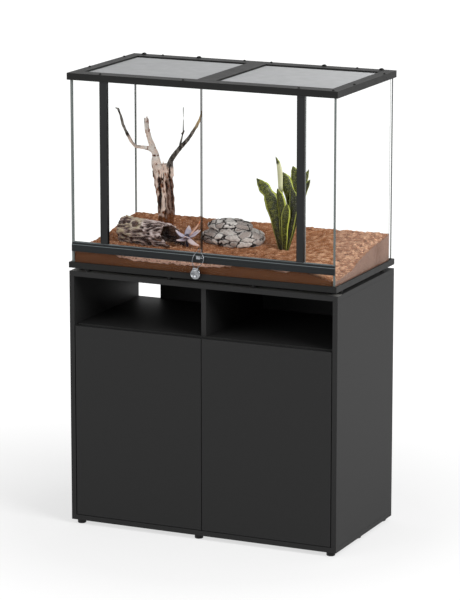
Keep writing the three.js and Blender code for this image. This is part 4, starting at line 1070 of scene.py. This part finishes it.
def stone_colour(point, height):
    gap, plate = plate_edges(point)
    grain = noise.noise(point * 120)
    colour = between(stone_dark_plate, stone_plate, plate * 1.5 - 0.25 + grain * 0.6)
    # Painted highlight: a pale line along each plate's rim.
    rim = math.exp(-(((gap - 0.0062) / 0.0022) ** 2))
    colour = between(colour, stone_rim_highlight, rim * (0.75 + grain * 0.5))
    return between(colour, stone_crack, 1.8 * math.exp(-((gap / 0.0040) ** 2)))


stone_finish = tinted_finish("weathered_stone", 0.82, 340, 0.0009, specular=0.3, vary=0.18)
for stone in ("stone_lower", "stone_upper"):
    worked(stone, 0.0024, stone + "_plated", stone_relief, stone_colour, stone_finish)


# ---------------------------------------------------------------- the upright plant
# A clump of stiff sword leaves growing from one crown. Each leaf is thick, folded a little along
# its middle, dark olive with wavy bands and a broad yellow-green edge, and ends in a point.
def smooth_line(points, share):
    # A smooth line through the points.
    spans = len(points) - 1
    place = held(share) * spans
    span = min(int(place), spans - 1)
    t = place - span
    start, end = points[span], points[span + 1]
    before = points[span - 1] if span > 0 else start * 2 - end
    after = points[span + 2] if span + 2 <= spans else end * 2 - start
    return 0.5 * (
        2 * start
        + (end - before) * t
        + (2 * before - 5 * start + 4 * end - after) * t * t
        + (3 * start - before - 3 * end + after) * t * t * t
    )


def leaf_piece(name, line, width, facing, outline, shape, finish):
    # A grid laid along the line, given the leaf's outline, fold, thickness and twist.
    fold, thickness, twist, rows = shape
    front = Vector(facing).normalized()
    bm = bmesh.new()
    uv = bm.loops.layers.uv.new("leaf")
    bmesh.ops.create_grid(bm, x_segments=8, y_segments=rows, size=0.5)
    for face in bm.faces:
        for loop in face.loops:
            loop[uv].uv = (loop.vert.co.x + 0.5, loop.vert.co.y + 0.5)
    for vert in bm.verts:
        side, along = vert.co.x * 2, vert.co.y + 0.5
        centre = smooth_line(line, along)
        ahead = smooth_line(line, min(along + 0.02, 1))
        behind = smooth_line(line, max(along - 0.02, 0))
        tangent = (ahead - behind).normalized()
        across = tangent.cross(front).normalized()
        across.rotate(Matrix.Rotation(twist * along, 3, tangent))
        through = across.cross(tangent)
        half = width / 2 * outline(along)
        vert.co = centre + across * half * side - through * (fold * half * side * side)
    bmesh.ops.solidify(bm, geom=list(bm.faces), thickness=thickness)
    bmesh.ops.recalc_face_normals(bm, faces=bm.faces)
    return place_piece(name, mesh_from(bm, name), "cabinet_and_tank", finish, smooth=True)


def along_leaf(tree):
    # The leaf's own coordinates: X across it and Y from its foot to its point.
    place = tree.nodes.new("ShaderNodeUVMap")
    place.uv_map = "leaf"
    return place.outputs[0]


def leaf_banding(name, dark, mid, edge, margin, bleached=None):
    # Wavy bands across the blade, a bright margin on both sides, and a pale stretch if asked.
    finish, tree, shader = new_finish(name, 0.4, specular=0.35)
    place = along_leaf(tree)
    parts = parts_of(tree, place)
    waves = speckle(tree, 1, (2.2, 30, 1), 5, 0.5, place)
    inner = shades(tree, waves, (0.42, rgb(*dark)), (0.52, rgb(*mid)), (0.66, rgb(*edge)))
    away = maths(tree, "ABSOLUTE", maths(tree, "SUBTRACT", parts["X"], 0.5))
    wander = maths(tree, "MULTIPLY_ADD", waves, 0.12, away)
    rim = new_node(tree, "ShaderNodeMapRange", wander, 0.41, 0.45)
    colour = mixed_colour(tree, rim.outputs[0], inner, rgb(*margin))
    if bleached is not None:
        white, black = (1, 1, 1, 1), (0, 0, 0, 1)
        start, end = bleached
        stretch = shades(
            tree, parts["Y"], (start - 0.10, black), (start, white), (end - 0.04, white),
            (end + 0.02, black),
        )
        colour = mixed_colour(tree, stretch, colour, rgb(232, 232, 188))
    # Each leaf is darker toward its foot.
    foot_tone = shades(tree, parts["Y"], (0.0, (0.22, 0.20, 0.16, 1)), (0.3, (1, 1, 1, 1)))
    fed(tree, shader, {"Base Color": mixed_colour(tree, 1, colour, foot_tone, "MULTIPLY")})
    raised(tree, shader, waves, 0.0004, 0.7)
    return finish


leaf_yellow = (186, 194, 84)
leaf_olive = leaf_banding("leaf_olive", (40, 44, 12), (76, 80, 22), (112, 114, 38), leaf_yellow)
leaf_bleached = leaf_banding(
    "leaf_bleached", (40, 44, 16), (70, 74, 26), (98, 100, 38), leaf_yellow, bleached=(0.42, 0.82)
)
leaf_blackish = leaf_banding(
    "leaf_blackish", (26, 28, 12), (44, 46, 18), (66, 68, 28), (150, 158, 66)
)
sword_outline = shaped_by((0, 0.46), (0.3, 0.72), (0.62, 1), (0.82, 0.80), (0.93, 0.42), (1, 0.03))
waisted_outline = shaped_by(
    (0, 0.44), (0.22, 0.66), (0.46, 1), (0.64, 0.88), (0.74, 0.62), (0.84, 0.74), (0.93, 0.42),
    (1, 0.03),
)


# Each leaf: name, finish, width, facing, twist, outline, and its middle line from the crown,
# in millimetres.
foot_x, foot_y = 0.1960, tank_middle_y
foot = Vector((foot_x, foot_y, raked_height(foot_x, foot_y) - 0.006))
front, right = (0, -1, 0), (0.5, -1, 0)
leaves = (
    ("front_left", leaf_olive, 54, front, 0.5, waisted_outline,
     [(-8, -4, 0), (-30, -10, 110), (-40, -12, 165), (-58, -12, 205), (-97, -15, 250)]),
    ("front_short", leaf_olive, 32, front, 0.15, sword_outline,
     [(4, -10, 0), (12, -26, 110), (24, -30, 174)]),
    ("front_middle", leaf_olive, 36, front, -0.25, sword_outline,
     [(-4, -6, 0), (-6, -15, 150), (-18, -20, 222)]),
    ("front_right", leaf_blackish, 34, (0.3, -1, 0), -0.2, sword_outline,
     [(6, -4, 0), (34, -4, 150), (28, 0, 225)]),
    ("middle", leaf_olive, 42, front, 0.3, sword_outline,
     [(0, 6, 0), (16, 12, 160), (2, 16, 230), (-13, 18, 272)]),
    ("back_tall", leaf_bleached, 30, (-0.3, -1, 0), -0.35, sword_outline,
     [(-6, 8, 0), (-22, 10, 200), (-28, 10, 280), (-38, 10, 326)]),
    ("back_right", leaf_olive, 32, front, 0.15, sword_outline,
     [(4, 12, 0), (22, 24, 200), (25, 28, 260), (18, 30, 294)]),
    ("far_right", leaf_olive, 24, right, 0.4, sword_outline,
     [(8, 6, 0), (50, 28, 200), (75, 36, 286)]),
    ("low_right", leaf_blackish, 28, (0.6, -1, 0), 0.3, sword_outline,
     [(9, 0, 0), (42, 4, 120), (68, 8, 210), (91, 10, 256)]),
)
for name, finish, width, facing, twist, outline, points in leaves:
    line = [foot + Vector(point) / 1000 for point in points]
    shape = (0.45, 0.0026, twist, 30)
    leaf = leaf_piece(
        f"sword_leaf_{name}", line, width / 1000, facing, outline, shape, finish
    )
    if name == "middle":
        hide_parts("leafy_plant")


# ---------------------------------------------------------------- the star plant
# A small star of fleshy pointed leaves on a short stem at the log's mouth: pale dusty lilac, purple
# at the heart, with one leaf turned orange-pink.
def star_leaf_finish(name, heart, body, tip):
    finish, tree, shader = new_finish(name, 0.5, specular=0.35)
    along = parts_of(tree, along_leaf(tree))["Y"]
    wander = maths(tree, "MULTIPLY_ADD", speckle(tree, 160, detail=4), 0.3, along)
    heart, body, tip = rgb(*heart), rgb(*body), rgb(*tip)
    tones = shades(tree, wander, (0.24, heart), (0.42, body), (0.85, body), (1.0, tip))
    fed(tree, shader, {"Base Color": tones})
    raised(tree, shader, speckle(tree, 500, detail=3), 0.0003, 0.6)
    return finish


star_lilac = star_leaf_finish("star_leaf_lilac", (50, 44, 66), (196, 188, 204), (222, 204, 204))
star_pink = star_leaf_finish("star_leaf_pink", (60, 46, 62), (232, 186, 164), (222, 132, 84))
star_blush = star_leaf_finish("star_leaf_blush", (60, 50, 66), (226, 208, 210), (236, 200, 188))


def star_outline(share):
    return max(math.sin(math.pi * (0.16 + 0.84 * share)) ** 0.75, 0.03)


# It stands at a share of the soil's half width and half depth from the middle.
x0, y0 = -0.298 * 0.484, -0.227 * 0.2425 + tank_middle_y
foot = raked_height(x0, y0)
heart = Vector((x0, y0, 1.0163))
shape = (0.35, 0.0034, 0.0, 16)
for number, (bearing, rise, share) in enumerate((
    (-24, -22, 0.9), (18, 26, 0.72), (14, 50, 1), (62, 18, 0.68),
    (105, 40, 0.62), (180, 22, 0.64), (-122, -12, 0.6), (-72, 10, 0.66),
)):
    turn, tilt = math.radians(bearing), math.radians(rise)
    length = 0.075 * share
    level = math.cos(tilt)
    out = Vector((math.cos(turn) * level, math.sin(turn) * level, math.sin(tilt)))
    facing = Vector((-math.cos(turn) * out.z, -math.sin(turn) * out.z, level))
    line = [
        heart + out * length * 0.03,
        heart + out * length * 0.5 - Vector((0, 0, 0.03 * length)),
        heart + out * length + Vector((0, 0, 0.04 * length)),
    ]
    skin = {0: star_blush, 2: star_pink}.get(number, star_lilac)
    leaf = leaf_piece(
        f"star_leaf_{number}", line, 0.024, facing, star_outline, shape, skin
    )
    if number == 0:
        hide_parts("succulent")
bm = bmesh.new()
bm.loops.layers.uv.new("leaf")
stem = bmesh.ops.create_cone(
    bm, cap_ends=True, segments=16, radius1=0.0055, radius2=0.0042, depth=heart.z - foot + 0.008
)["verts"]
bmesh.ops.translate(bm, vec=(x0, y0, (heart.z + foot - 0.008) / 2), verts=stem)
bud = bmesh.ops.create_uvsphere(bm, u_segments=16, v_segments=10, radius=0.0085)["verts"]
bmesh.ops.translate(bm, vec=heart, verts=bud)
mesh = mesh_from(bm, "star_heart")
place_piece("star_heart", mesh, "cabinet_and_tank", star_lilac, smooth=True)


# ---------------------------------------------------------------- the finished size
# The box round the dressed object, leaving out the floor.
shown = [list(corner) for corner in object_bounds()]
